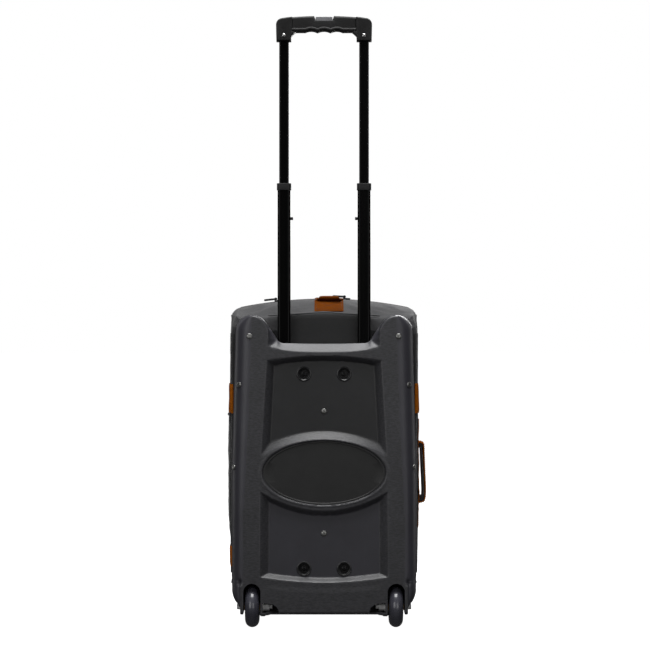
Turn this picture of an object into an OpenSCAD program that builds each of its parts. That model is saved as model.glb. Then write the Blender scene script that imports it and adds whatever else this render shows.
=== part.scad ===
// Two-wheeled skate bag: a moulded back shell on skate wheels, a soft fabric body with a zipped
// front lid, and a two-stage pull handle that runs between the shell and the fabric.
// Millimetres. +Z up, floor at z = 0, the back shell faces -Y and the lid faces +Y.
// Every module is drawn about the bag's own mid-plane. at_mid() then moves it so that the origin
// is at the centre of the whole footprint, side handle included. Left is -X and right is +X.

/* [Body] */
// Width of the fabric body
body_w = 316; // [308:1:324]
// Height of the fabric crown above the floor
body_top = 559; // [552:1:570]
// Rear face of the fabric walls, against the shell
body_back = -71; // [-72:1:-70]
// Front face of the fabric walls, where the lid closes
body_front = 80; // [72:1:84]
// Thickness of the padded fabric walls
fabric_t = 4; // [3:0.5:5]
// Rounding of the fabric's rear top edge
shoulder_r = 45; // [35:1:50]
// Thickness of the padded lid
lid_t = 8; // [6:0.5:10]

/* [Shell] */
// Width of the moulded shell
shell_w = 313; // [310:1:314]
// Rear face of the shell's ribs
shell_back = -112; // [-113:0.5:-111]
// Wall thickness of the shell
shell_t = 3; // [2.5:0.5:3]
// Depth of the sunk panels in the shell
recess_depth = 8; // [6:0.5:8]
// Bottom edge of the shell above the floor
shell_bottom = 24; // [23:0.5:25]
// Floor of the notch between the two ears
notch_z = 484; // [483:0.5:485]
// Top of the ears
ear_top = 531; // [529:0.5:532]

/* [Wheels] */
// Wheel diameter
wheel_d = 70; // [68:1:72]
// Wheel width
wheel_w = 24; // [22:1:24]
// Distance of each wheel's centre from the mid-plane
wheel_x = 122; // [121:0.5:122]
// Axle position, front to back
axle_y = -85; // [-87:0.5:-84]
// Axle diameter
axle_d = 8; // [7:0.5:8]

/* [Pull handle] */
// Distance of each tube from the mid-plane
tube_x = 68; // [67:0.5:68]
// Tube position, front to back
tube_y = -89; // [-90:0.5:-88.5]
// Top of the middle stage when it is pulled out
middle_top = 755; // [745:1:757]
// Travel of the middle stage
middle_travel = 262; // [200:1:262]
// Travel of the inner stage
inner_travel = 241; // [200:1:241]
// Width across the grip
grip_w = 163; // [158:1:166]
// Button travel
button_travel = 4; // [3:0.5:4]

/* [Hidden] */
$fn = 48;
gap = 0.3;                       // clearance between pieces that move past each other
mid_x = -7.4;                    // the bag's mid-plane, so that the footprint is centred on x = 0
half_body = body_w / 2;
half_shell = shell_w / 2;
wheel_r = wheel_d / 2;
axle_z = wheel_r;
axle_r = axle_d / 2;

// fabric outline
dome_r = 747;                    // radius of the crown, side to side
dome_z = body_top - dome_r;      // height of the crown's centre
top_corner_r = 14;
top_corner_x = half_body - top_corner_r;
top_corner_z = dome_z + sqrt(pow(dome_r - top_corner_r, 2) - pow(top_corner_x, 2));
base_z = 30;                     // underside of the fabric body
low_corner_r = 36;
low_corner_x = half_body - low_corner_r;
seam_z = 512;                    // seam between the top panel and the walls below it

// shell outline
ear_r = 28;
ear_x = 122.5;
ear_z = ear_top - ear_r;
ear_side_a = 1.46;               // lean of the shell's upper side edges
notch_r = 14;
notch_a = 54.7;                  // slope of the notch's flanks
notch_x = ear_x - ((ear_z - notch_z - notch_r) * cos(notch_a) + ear_r + notch_r) / sin(notch_a);
shell_corner_r = 34;
shell_corner_x = half_shell - shell_corner_r;
side_taper_z = 268;
band_r = 24;                     // rounding of the shell's rear side edges
shell_front = body_back - gap;

// sunk panels and oval badge
oval_z = 264;
rim_a = 118;
rim_up = 72;
rim_down = 64;
panel_floor = shell_back + recess_depth;
badge_floor = shell_back + 4;

// bolts that carry the handle frame, and rivets round the shell
bolt_x = 34;
bolt_z = [101, 431];
flat_rivets = [[-126, 495], [126, 495], [0, 368], [0, 161]];
edge_rivets = [[28.6, 413], [58.7, 273]];

// wheel housings
slot_w = 29;
well_r = wheel_r + 3;
housing_in = wheel_x - slot_w / 2 - 3;
housing_out = 142;
housing_top = 79;
heel_y = -43;                    // front of the space left for the housings
heel_x = 101;
heel_z = 84;
spacer_gap = 0.1;

// tube sections
outer_size = [27, 17];
middle_size = [22, 12.4];
inner_size = [16.5, 8.2];
outer_wall = 1.3;
middle_wall = 1.1;
inner_wall = 1;
outer_bottom = 60;
outer_top = 470;
middle_bottom = outer_top - 52;
inner_bottom = middle_top - 69;
grip_z = middle_top + inner_travel;
upper_pin_z = inner_bottom + 9;
lower_pin_z = middle_bottom + 12;
pin_r = 2.6;

// grip
grip_half = grip_w / 2;
grip_d = 24;
grip_top = grip_z + 43;
grip_under = grip_z + 15;
block_x = 55;
crown_r = 675;
button_half = 16;
bar_z = grip_z + 26;             // cross bar that joins the two push rods

// lid, pocket and zips
lid_back = body_front + gap;
lid_front = lid_back + lid_t;
pocket_front = 114;
tape_t = 1.2;
strap_t = 1.5;
slider_left_a = -6.29;           // rest positions of the two sliders round the crown
slider_right_a = 3.07;
slider_z = body_top + tape_t + gap;

// ---------- helpers ----------

module at_mid() {
    translate([mid_x, 0, 0]) children();
}

module both() {
    children();
    mirror([1, 0, 0]) children();
}

// a 2D outline seen from behind (x, z), given depth from y0 to y1
module along_y(y0, y1) {
    translate([0, y1, 0]) rotate([90, 0, 0]) linear_extrude(height = y1 - y0) children();
}

// a 2D outline seen from the side (y, z), given width from x0 to x1
module along_x(x0, x1) {
    translate([x0, 0, 0]) rotate([90, 0, 90]) linear_extrude(height = x1 - x0) children();
}

module rod_x(x0, x1, y, z, r) {
    translate([x0, y, z]) rotate([0, 90, 0]) cylinder(h = x1 - x0, r = r);
}

module rod_y(y0, y1, x, z, r) {
    translate([x, y1, z]) rotate([90, 0, 0]) cylinder(h = y1 - y0, r = r);
}

module box(x0, x1, y0, y1, z0, z1) {
    translate([x0, y0, z0]) cube([x1 - x0, y1 - y0, z1 - z0]);
}

// a rectangle with rounded corners, from corner a to corner b
module round_rect(a, b, r) {
    translate([a[0] + r, a[1]]) square([b[0] - a[0] - 2 * r, b[1] - a[1]]);
    translate([a[0], a[1] + r]) square([b[0] - a[0], b[1] - a[1] - 2 * r]);
    for (x = [a[0] + r, b[0] - r]) {
        for (z = [a[1] + r, b[1] - r]) {
            translate([x, z]) circle(r = r);
        }
    }
}

// an oval with its own height above and below its centre
module oval(a, up, down) {
    polygon([for (t = [0:5:355]) [a * cos(t), (t < 180 ? up : down) * sin(t)]]);
}

// ---------- fabric body ----------

// outline of the fabric body from behind, drawn in by i
module front_outline(i) {
    half = half_body - i;
    low_z = base_z + low_corner_r;
    translate([-half, low_z]) square([2 * half, top_corner_z - low_z]);
    translate([-low_corner_x, base_z + i]) square([2 * low_corner_x, low_corner_r - i]);
    for (s = [-1, 1]) {
        translate([s * low_corner_x, low_z]) circle(r = low_corner_r - i);
        translate([s * top_corner_x, top_corner_z]) circle(r = top_corner_r - i);
    }
    intersection() {
        translate([0, dome_z]) circle(r = dome_r - i, $fn = 360);
        polygon([for (f = [[-0.6, 0.6], [0.6, 0.6], [1.1, 1.1], [-1.1, 1.1]])
            [f[0] * top_corner_x, dome_z + f[1] * (top_corner_z - dome_z)]]);
    }
}

// outline of the fabric body from the side, drawn in by i
module side_outline(i) {
    back = body_back + i;
    top_y = body_back + shoulder_r;
    top_z = body_top - shoulder_r;
    translate([back, base_z + i]) square([body_front + 1 - back, top_z - base_z - i]);
    translate([top_y, base_z + i]) square([body_front + 1 - top_y, body_top - base_z + 10]);
    translate([top_y, top_z]) circle(r = shoulder_r - i, $fn = 96);
}

module body_block(i, front) {
    difference() {
        intersection() {
            along_y(body_back - 1, front) front_outline(i);
            along_x(-200, 200) side_outline(i);
        }
        both() box(heel_x - i, 200, -100, heel_y + i, 0, heel_z + i);
    }
}

module fabric_wall() {
    difference() {
        body_block(0, body_front);
        body_block(fabric_t, body_front + 1);
    }
}

module back_panel() {
    color([0.16, 0.16, 0.18]) intersection() {
        fabric_wall();
        box(-148, 148, -90, 0, 36, seam_z);
    }
}

module top_panel() {
    color([0.3, 0.3, 0.32]) intersection() {
        fabric_wall();
        box(-200, 200, -100, 100, seam_z, 600);
    }
}

module bottom_panel() {
    color([0.14, 0.14, 0.15]) intersection() {
        fabric_wall();
        box(-200, 200, -100, 100, 20, 36);
    }
}

module side_panel() {
    color([0.2, 0.2, 0.22]) intersection() {
        fabric_wall();
        union() {
            box(148, 200, -100, 100, 36, seam_z);
            box(100, 149, 0, 100, 36, seam_z);
        }
    }
}

module side_panel_right() side_panel();

module side_panel_left() mirror([1, 0, 0]) side_panel();

module body_zip_tape() {
    color([0.08, 0.08, 0.09]) intersection() {
        along_y(body_front - 6, body_front) difference() {
            front_outline(-tape_t);
            front_outline(-0.1);
        }
        box(-150, 200, 0, 100, 20, 600);
    }
}

// ---------- lid ----------

module lid_panel() {
    color([0.2, 0.2, 0.22]) along_y(lid_back, lid_front) front_outline(0);
}

module lid_zip_tape() {
    color([0.08, 0.08, 0.09]) intersection() {
        along_y(lid_back, lid_back + 5.7) difference() {
            front_outline(-tape_t);
            front_outline(-0.1);
        }
        box(-150, 200, 0, 100, 20, 600);
    }
}

module lid_pocket() {
    color([0.24, 0.24, 0.26]) difference() {
        along_y(lid_front, pocket_front) round_rect([-130, 70], [130, 470], 30);
        along_y(lid_front - 1, pocket_front - 3) round_rect([-127, 73], [127, 467], 27);
    }
}

// ---------- zip sliders and pulls ----------

// a slider on a zip that runs along x, with its pull's pin at x = -4
module slider() {
    color([0.62, 0.6, 0.55]) union() {
        translate([-6.5, -5.5, 0]) cube([13, 11, 3]);
        for (y = [-3.4, 2.3]) {
            translate([-6, y, 2.5]) cube([4, 1.1, 4]);
        }
        rod_x_pin();
    }
}

module rod_x_pin() {
    translate([-4, 3, 5]) rotate([90, 0, 0]) cylinder(h = 6, r = 1);
}

module pull() {
    color([0.1, 0.1, 0.11]) difference() {
        union() {
            translate([-4, 2, 5]) rotate([90, 0, 0]) cylinder(h = 4, r = 1.8);
            translate([-9, -2, 4.1]) cube([5, 4, 1.8]);
            translate([-24, -3.5, 4.1]) cube([16, 7, 1.8]);
        }
        translate([-4, 3, 5]) rotate([90, 0, 0]) cylinder(h = 6, r = 1.06);
    }
}

module on_crown(a) {
    translate([0, body_front, dome_z]) rotate([0, a, 0]) translate([0, 0, slider_z - dome_z]) children();
}

module main_slider_left() on_crown(slider_left_a) slider();

module main_pull_left() on_crown(slider_left_a) pull();

module main_slider_right() on_crown(slider_right_a) slider();

module main_pull_right() on_crown(slider_right_a) pull();

module on_pocket() {
    translate([95, pocket_front + gap, 420]) rotate([0, -90, -90]) children();
}

module pocket_slider() on_pocket() slider();

module pocket_pull() on_pocket() pull();

// ---------- back shell ----------

// points round an arc from angle a0 to a1, in n steps
function arc(c, r, a0, a1, n) =
    [for (k = [0:n]) [c[0] + r * cos(a0 + k * (a1 - a0) / n), c[1] + r * sin(a0 + k * (a1 - a0) / n)]];

// outline of the shell from behind, drawn in by i
module shell_outline(i) {
    right = concat(
        arc([shell_corner_x, shell_bottom + shell_corner_r], shell_corner_r - i, -90, 0, 12),
        [[half_shell - i, side_taper_z]],
        arc([ear_x, ear_z], ear_r - i, ear_side_a, 90 + notch_a, 20),
        arc([notch_x, notch_z + notch_r], notch_r + i, notch_a - 90, -90, 5)
    );
    left = [for (k = [len(right) - 1:-1:0]) [-right[k][0], right[k][1]]];
    polygon(concat(right, left));
}

// the shell's section from above, drawn in by i
module shell_plan(i) {
    side = half_shell - i;
    band_y = shell_back + band_r;
    band_x = half_shell - band_r;
    translate([-side, band_y]) square([2 * side, 60]);
    translate([-band_x, shell_back + i]) square([2 * band_x, band_r]);
    for (s = [-1, 1]) {
        translate([s * band_x, band_y]) circle(r = band_r - i, $fn = 96);
    }
}

module shell_tray(i, front) {
    intersection() {
        along_y(shell_back + i, front) shell_outline(i);
        linear_extrude(height = 600) shell_plan(i);
    }
}

module rim_oval(g) {
    translate([0, oval_z]) oval(rim_a - g, rim_up - g, rim_down - g);
}

// the two sunk panels, grown by g
module sunk_panels(g) {
    difference() {
        intersection() {
            polygon([
                [-97 - g, 470], [97 + g, 470], [109 + g, 275], [109 + g, 60],
                [-109 - g, 60], [-109 - g, 275]
            ]);
            translate([0, -130]) circle(r = 592 + g, $fn = 360);
            translate([0, 687]) circle(r = 605 + g, $fn = 360);
        }
        rim_oval(g);
    }
}

module badge_oval(g) {
    translate([0, oval_z]) oval(105 + g, 55 + g, 55 + g);
}

module rivet_spots() {
    for (p = flat_rivets) {
        translate([p[0], flat_y(p[0]), p[1]]) rotate([90, 0, 0]) children();
    }
    for (s = [-1, 1]) {
        for (p = edge_rivets) {
            translate([s * (half_shell - band_r), shell_back + band_r, p[1]])
                rotate([0, 0, s * p[0]]) translate([0, -band_r, 0]) rotate([90, 0, 0]) children();
        }
    }
}

// depth of the surface that a rivet sits on: the sunk panels or the ribs
function flat_y(x) = x == 0 ? panel_floor : shell_back;

module rear_shell() {
    color([0.2, 0.2, 0.22]) difference() {
        union() {
            difference() {
                shell_tray(0, shell_front);
                shell_tray(shell_t, shell_front + 1);
            }
            along_y(shell_back + 1, panel_floor + shell_t) sunk_panels(shell_t);
            along_y(shell_back + 1, badge_floor + shell_t) badge_oval(shell_t);
        }
        along_y(shell_back - 1, panel_floor) sunk_panels(0);
        along_y(shell_back - 1, badge_floor) badge_oval(0);
        both() box(housing_in - gap, housing_out + gap, -120, -60, 0, housing_top + gap);
        both() box(76, housing_in, -120, shell_back + shell_t + 1, shell_bottom + shell_t, 44);
        both() rod_x(housing_out, 170, axle_y, axle_z, 7);
        both() box(tube_x - 14, tube_x + 14.5, tube_y - 12.5, tube_y + 12.5, notch_z - 4, notch_z + 12);
        both() for (z = bolt_z) {
            rod_y(-120, -90, bolt_x, z, 9.6);
        }
        rivet_spots() translate([0, 0, -10]) cylinder(h = 20, r = 2.25);
    }
}

module oval_badge() {
    color([0.13, 0.13, 0.14]) difference() {
        along_y(badge_floor - 1.6, badge_floor) badge_oval(-2);
        along_y(badge_floor - 2, badge_floor - 1) badge_oval(-5);
    }
}

module shell_rivets() {
    color([0.5, 0.5, 0.5]) rivet_spots() union() {
        cylinder(h = 1.2, r = 4.4);
        translate([0, 0, -4.5]) cylinder(h = 5, r = 2.2);
        translate([0, 0, -4.9]) cylinder(h = 1.6, r = 3.6);
    }
}

module bolt_cups() {
    color([0.07, 0.07, 0.08]) both() for (z = bolt_z) {
        difference() {
            union() {
                rod_y(panel_floor - 1.5, panel_floor, bolt_x, z, 12.5);
                rod_y(panel_floor - 1, panel_floor + 8, bolt_x, z, 9.5);
            }
            rod_y(panel_floor - 2, panel_floor + 6, bolt_x, z, 8);
            rod_y(panel_floor, panel_floor + 9, bolt_x, z, 2.6);
        }
    }
}

module frame_bolts() {
    color([0.12, 0.12, 0.12]) both() for (z = bolt_z) {
        difference() {
            union() {
                rod_y(panel_floor + 2.5, panel_floor + 6, bolt_x, z, 4.2);
                rod_y(panel_floor + 6, -73, bolt_x, z, 2.5);
            }
            rod_y(panel_floor + 2, panel_floor + 4.5, bolt_x, z, 2);
        }
    }
}

// ---------- wheels ----------

module housing() {
    slot_r = slot_w / 2;
    color([0.05, 0.05, 0.055]) difference() {
        union() {
            box(housing_in, housing_out, shell_back, heel_y - 1, 26, housing_top);
            box(76, housing_in + 1, shell_back + shell_t, -72, shell_bottom + shell_t, 46);
        }
        rod_x(wheel_x - slot_r, wheel_x + slot_r, axle_y, axle_z, well_r);
        box(wheel_x - slot_r, wheel_x + slot_r, -130, axle_y, 0, housing_top - 2 - slot_r);
        rod_y(-130, axle_y, wheel_x, housing_top - 2 - slot_r, slot_r);
        box(wheel_x - slot_r, wheel_x + slot_r, -90, axle_y + well_r, 0, axle_z);
        box(78, housing_in, -130, -74, 20, 44);
        rod_x(housing_in - 1, housing_out + 1, axle_y, axle_z, axle_r + 0.05);
    }
}

module wheel_housing_right() housing();

module wheel_housing_left() mirror([1, 0, 0]) housing();

module axle() {
    color([0.8, 0.8, 0.8]) difference() {
        union() {
            rod_x(88, housing_out, axle_y, axle_z, axle_r);
            rod_x(housing_out, housing_out + 4, axle_y, axle_z, 4.8);
        }
        rod_x(housing_out + 2, housing_out + 5, axle_y, axle_z, 2.5);
    }
}

module axle_right() axle();

module axle_left() mirror([1, 0, 0]) axle();

module axle_nuts() {
    color([0.75, 0.75, 0.75]) both() difference() {
        union() {
            translate([93, axle_y, axle_z]) rotate([0, 90, 0]) cylinder(h = 10, r = 7.2, $fn = 6);
            rod_x(103, housing_in, axle_y, axle_z, 8);
        }
        rod_x(92, housing_in + 1, axle_y, axle_z, axle_r);
    }
}

module axle_spacers() {
    reach = (slot_w - wheel_w) / 2;
    color([0.75, 0.6, 0.3]) both() for (x = [wheel_x - slot_w / 2, wheel_x + slot_w / 2 - reach]) {
        difference() {
            rod_x(x + spacer_gap, x + reach - spacer_gap, axle_y, axle_z, 6.5);
            rod_x(x, x + reach, axle_y, axle_z, axle_r);
        }
    }
}

module wheel_spot() {
    translate([wheel_x, axle_y, axle_z]) rotate([0, 90, 0]) children();
}

module tyre() {
    color([0.12, 0.12, 0.15]) wheel_spot() rotate_extrude($fn = 96) intersection() {
        translate([22, -wheel_w / 2]) square([20, wheel_w]);
        translate([wheel_r - 12, 0]) circle(r = 12, $fn = 64);
    }
}

module tyre_right() tyre();

module tyre_left() mirror([1, 0, 0]) tyre();

module hub() {
    color([0.16, 0.16, 0.17]) wheel_spot() difference() {
        cylinder(h = wheel_w - 2, r = 22, center = true);
        cylinder(h = wheel_w, r = 8, center = true);
        for (s = [-1, 1]) {
            translate([0, 0, s * (wheel_w / 2 - 3)]) cylinder(h = 8, r = 11.04, center = true);
        }
        for (k = [0:5]) {
            rotate([0, 0, 60 * k]) translate([16.6, 0, 0]) cylinder(h = wheel_w, r = 3.4, center = true);
        }
    }
}

module hub_right() hub();

module hub_left() mirror([1, 0, 0]) hub();

module bearings() {
    color([0.7, 0.7, 0.72]) wheel_spot() for (s = [-1, 1]) {
        translate([0, 0, s * (wheel_w / 2 - 3.5)]) difference() {
            cylinder(h = 7, r = 11, center = true);
            cylinder(h = 9, r = axle_r + 0.05, center = true);
        }
    }
}

module bearings_right() bearings();

module bearings_left() mirror([1, 0, 0]) bearings();

// ---------- pull handle ----------

// section of a tube, grown by g
module tube_section(size, g) {
    translate([tube_x, tube_y]) round_rect(
        [-size[0] / 2 - g, -size[1] / 2 - g], [size[0] / 2 + g, size[1] / 2 + g], size[1] / 3 + g);
}

module tube(size, wall, z0, z1) {
    translate([0, 0, z0]) linear_extrude(height = z1 - z0) difference() {
        tube_section(size, 0);
        tube_section(size, -wall);
    }
}

module pin_hole(z) {
    rod_x(tube_x - 20, tube_x, tube_y, z, pin_r + 0.2);
}

module outer_tube() {
    color([0.25, 0.25, 0.26]) difference() {
        tube(outer_size, outer_wall, outer_bottom, outer_top);
        pin_hole(lower_pin_z);
    }
}

module outer_tube_right() outer_tube();

module outer_tube_left() mirror([1, 0, 0]) outer_tube();

module middle_tube() {
    color([0.03, 0.03, 0.03]) difference() {
        tube(middle_size, middle_wall, middle_bottom, middle_top - 5);
        pin_hole(lower_pin_z);
        pin_hole(upper_pin_z);
    }
}

module middle_tube_right() middle_tube();

module middle_tube_left() mirror([1, 0, 0]) middle_tube();

module inner_tube() {
    color([0.04, 0.04, 0.04]) difference() {
        tube(inner_size, inner_wall, inner_bottom, grip_z + 20);
        pin_hole(upper_pin_z);
    }
}

module inner_tube_right() inner_tube();

module inner_tube_left() mirror([1, 0, 0]) inner_tube();

module outer_collars() {
    color([0.06, 0.06, 0.06]) both() difference() {
        translate([0, 0, outer_top - 14]) linear_extrude(height = 18) tube_section(outer_size, 2);
        translate([0, 0, outer_top - 15]) linear_extrude(height = 15) tube_section(outer_size, 0);
        translate([0, 0, outer_top - 1]) linear_extrude(height = 6) tube_section(middle_size, gap);
    }
}

module middle_collars() {
    color([0.08, 0.08, 0.08]) both() difference() {
        translate([0, 0, middle_top - 12]) linear_extrude(height = 12 - gap) tube_section(middle_size, 1.2);
        translate([0, 0, middle_top - 13]) linear_extrude(height = 8) tube_section(middle_size, 0);
        translate([0, 0, middle_top - 6]) linear_extrude(height = 7) tube_section(inner_size, gap);
    }
}

module middle_foot_bushes() {
    color([0.1, 0.1, 0.1]) both() difference() {
        translate([0, 0, middle_bottom]) linear_extrude(height = 22)
            tube_section(outer_size, -outer_wall - gap);
        translate([0, 0, middle_bottom - 1]) linear_extrude(height = 24) tube_section(middle_size, 0.05);
        pin_hole(lower_pin_z);
    }
}

module inner_foot_bushes() {
    color([0.1, 0.1, 0.1]) both() difference() {
        translate([0, 0, inner_bottom]) linear_extrude(height = 18)
            tube_section(middle_size, -middle_wall - gap);
        translate([0, 0, inner_bottom - 1]) linear_extrude(height = 20) tube_section(inner_size, 0.05);
        pin_hole(upper_pin_z);
    }
}

// a U-shaped leaf spring inside a tube, with its pin through the tube's inward face
module lock_clip(half, pin_x, z) {
    color([0.45, 0.45, 0.46]) union() {
        box(tube_x - half, tube_x - half + 0.6, tube_y - 2.5, tube_y + 2.5, z - 2, z + 8);
        box(tube_x + half - 0.6, tube_x + half, tube_y - 2.5, tube_y + 2.5, z - 2, z + 8);
        box(tube_x - half, tube_x + half, tube_y - 2.5, tube_y + 2.5, z - 2.6, z - 2);
        rod_x(pin_x, tube_x - half + 0.6, tube_y, z, pin_r);
    }
}

module upper_lock_clips() both() lock_clip(6.6, 52.6, upper_pin_z);

module lower_lock_clips() both() lock_clip(9.6, 53.6, lower_pin_z);

// cross bracket that ties both outer tubes to the shell at height z
module bracket(z) {
    color([0.3, 0.3, 0.31]) difference() {
        union() {
            box(-86, 86, -80, -76, z - 12, z + 12);
            both() rod_y(panel_floor + 8, -79, bolt_x, z, 8);
            both() box(82, 86, -98, -79, z - 12, z + 12);
            both() box(49.5, 53.2, -98, -79, z - 12, z + 12);
        }
        both() rod_y(-120, -70, bolt_x, z, 2.55);
    }
}

module upper_bracket() bracket(bolt_z[1]);

module lower_bracket() bracket(bolt_z[0]);

module tube_bezel() {
    color([0.07, 0.07, 0.08]) difference() {
        box(-88, 88, shell_back + shell_t + gap, shell_front, notch_z - 6.5, notch_z - 3.5);
        both() box(tube_x - 13, tube_x + 13, tube_y - 8.2, tube_y + 8.2, 470, 490);
    }
}

// ---------- grip ----------

module grip_section() {
    y0 = tube_y - grip_d / 2;
    y1 = tube_y + grip_d / 2;
    translate([y0, grip_z]) square([grip_d, 34]);
    translate([y0 + 9, grip_z]) square([grip_d - 18, 60]);
    translate([y0 + 9, grip_top - 10]) circle(r = 9);
    translate([y1 - 9, grip_top - 10]) circle(r = 9);
}

module grip_outline() {
    intersection() {
        translate([0, grip_top - crown_r]) circle(r = crown_r, $fn = 360);
        union() {
            round_rect([-grip_half, grip_z + 6], [grip_half, grip_top + 20], 3);
            translate([-grip_half, grip_z]) square([2 * grip_half, 34]);
        }
        round_rect([-grip_half, grip_z - 20], [grip_half, grip_top - 0.2], 12);
    }
}

module grip_bores() {
    box(-73, 73, tube_y - 2.5, tube_y + 2.5, grip_z + 20, grip_z + 35);
    box(-button_half - gap, button_half + gap, tube_y - 7.3, tube_y + 7.3, grip_z + 25.5, grip_top + 5);
}

module grip_blocks() {
    color([0.1, 0.1, 0.11]) difference() {
        intersection() {
            along_y(tube_y - 12, tube_y + 12) intersection() {
                grip_outline();
                union() {
                    translate([block_x, grip_z - 1]) square([60, 60]);
                    translate([-block_x - 60, grip_z - 1]) square([60, 60]);
                }
            }
            along_x(-100, 100) grip_section();
        }
        grip_bores();
        both() translate([0, 0, grip_z - 1]) linear_extrude(height = 21) tube_section(inner_size, 0);
        both() rod_y(-130, -90, tube_x, grip_z + 10.5, 1.6);
        both() rod_y(-130, tube_y - 10.4, tube_x, grip_z + 10.5, 3.2);
    }
}

module grip_bar() {
    color([0.07, 0.07, 0.08]) difference() {
        intersection() {
            along_y(tube_y - 12, tube_y + 12) intersection() {
                grip_outline();
                translate([-block_x, grip_under]) square([2 * block_x, 60]);
            }
            along_x(-100, 100) grip_section();
        }
        grip_bores();
        for (x = [-22, 0, 22]) {
            rod_y(-120, -60, x, grip_under - 21.5, 24);
        }
    }
}

module grip_screws() {
    color([0.3, 0.3, 0.3]) both() difference() {
        union() {
            rod_y(tube_y - 12, tube_y - 10.4, tube_x, grip_z + 10.5, 3);
            rod_y(tube_y - 10.4, tube_y - 4.2, tube_x, grip_z + 10.5, 1.5);
        }
        box(tube_x - 2.2, tube_x + 2.2, tube_y - 13, tube_y - 11.2, grip_z + 10, grip_z + 11);
        box(tube_x - 0.5, tube_x + 0.5, tube_y - 13, tube_y - 11.2, grip_z + 8.3, grip_z + 12.7);
    }
}

module grip_button() {
    color([0.2, 0.2, 0.21]) intersection() {
        along_y(tube_y - 7, tube_y + 7)
            round_rect([-button_half, bar_z + 4], [button_half, bar_z + 12], 2);
        along_x(-20, 20) round_rect([tube_y - 7, bar_z], [tube_y + 7, bar_z + 12], 3);
    }
}

module push_rods() {
    color([0.5, 0.5, 0.5]) union() {
        box(-71, 71, tube_y - 2, tube_y + 2, bar_z, bar_z + 4);
        both() translate([tube_x, tube_y, upper_pin_z + 12]) cylinder(h = bar_z - upper_pin_z - 11, r = 2);
    }
}

module button_spring() {
    color([0.6, 0.6, 0.6]) for (k = [0:4]) {
        translate([0, tube_y, grip_z + 20.5 + 1.25 * k]) rotate_extrude() translate([1.7, 0])
            circle(r = 0.45, $fn = 24);
    }
}

// ---------- base, handles and pockets ----------

module base_plate() {
    color([0.06, 0.06, 0.06]) difference() {
        union() {
            box(-100, 100, shell_front + gap, 72, shell_bottom, base_z - gap);
            box(-128, 128, heel_y + 1, 72, shell_bottom, base_z - gap);
        }
        both() translate([108, 52, 10]) cylinder(h = 30, r = 2.6);
    }
}

module front_feet() {
    color([0.04, 0.04, 0.04]) both() difference() {
        translate([108, 52, 0]) cylinder(h = shell_bottom, r = 13);
        translate([108, 52, -1]) cylinder(h = 9, r = 5);
        translate([108, 52, -1]) cylinder(h = 40, r = 2.6);
    }
}

module foot_screws() {
    color([0.6, 0.6, 0.6]) both() union() {
        translate([108, 52, 5]) cylinder(h = 3, r = 4.6);
        translate([108, 52, 8]) cylinder(h = base_z - gap - 8, r = 2.5);
    }
}

module top_handle() {
    low_r = shoulder_r + 0.5;
    shoulder_y = body_back + shoulder_r;
    color([0.5, 0.2, 0.02]) intersection() {
        along_x(-16.5, 33.5) union() {
            intersection() {
                difference() {
                    translate([shoulder_y, body_top - shoulder_r]) circle(r = low_r + 2.4, $fn = 96);
                    translate([shoulder_y, body_top - shoulder_r]) circle(r = low_r, $fn = 96);
                }
                translate([-80, 536]) square([29, 20]);
            }
            polygon([
                [-56, 551], [-51.5, 551], [-44, 557.5], [-34, 561.8], [-20, 562.6], [36, 562.6],
                [48, 559.5], [66, 559.5], [66, 561.9], [50, 561.9], [38, 565.1], [-22, 565.1],
                [-36, 564.3], [-46, 560.4]
            ]);
        }
        box(-40, 60, -90, 90, 500, 600);
    }
}

module side_handle() {
    x = half_body + gap + strap_t;
    color([0.5, 0.2, 0.02]) along_y(-14, 14) polygon([
        [x, 203], [x + 2.6, 203], [176.8, 216], [176.8, 293], [x + 2.6, 311], [x, 311],
        [x, 299], [x + 2.2, 297], [171.3, 286], [171.3, 224], [x + 2.2, 217], [x, 215]
    ]);
}

module side_straps() {
    x = half_body + gap;
    color([0.5, 0.2, 0.02]) union() {
        box(x, x + strap_t, -19, 19, 162, 412);
        box(x + strap_t, x + 2 * strap_t, -19, 19, 361, 412);
        box(-x - strap_t, -x, -19, 19, 361, 412);
        box(-x - strap_t, -x, -19, 19, 99, 134);
    }
}

module side_pocket() {
    x = half_body + gap;
    color([0.1, 0.1, 0.1]) intersection() {
        along_x(-x - 3.7, -x) round_rect([-50, 136], [62, 359], 12);
        linear_extrude(height = 600) round_rect([-x - 3.7, -50], [-x + 8, 62], 3.6);
    }
}

at_mid() rear_shell();
at_mid() oval_badge();
at_mid() wheel_housing_left();
at_mid() wheel_housing_right();
at_mid() shell_rivets();
at_mid() bolt_cups();
at_mid() frame_bolts();
at_mid() axle_left();
at_mid() axle_right();
at_mid() axle_nuts();
at_mid() axle_spacers();
at_mid() tyre_left();
at_mid() tyre_right();
at_mid() hub_left();
at_mid() hub_right();
at_mid() bearings_left();
at_mid() bearings_right();
at_mid() outer_tube_left();
at_mid() outer_tube_right();
at_mid() upper_bracket();
at_mid() lower_bracket();
at_mid() tube_bezel();
at_mid() outer_collars();
at_mid() middle_tube_left();
at_mid() middle_tube_right();
at_mid() middle_collars();
at_mid() middle_foot_bushes();
at_mid() lower_lock_clips();
at_mid() inner_tube_left();
at_mid() inner_tube_right();
at_mid() inner_foot_bushes();
at_mid() upper_lock_clips();
at_mid() grip_blocks();
at_mid() grip_bar();
at_mid() grip_screws();
at_mid() grip_button();
at_mid() push_rods();
at_mid() button_spring();
at_mid() back_panel();
at_mid() top_panel();
at_mid() bottom_panel();
at_mid() side_panel_left();
at_mid() side_panel_right();
at_mid() base_plate();
at_mid() front_feet();
at_mid() foot_screws();
at_mid() top_handle();
at_mid() side_handle();
at_mid() side_straps();
at_mid() side_pocket();
at_mid() body_zip_tape();
at_mid() lid_panel();
at_mid() lid_zip_tape();
at_mid() lid_pocket();
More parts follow.
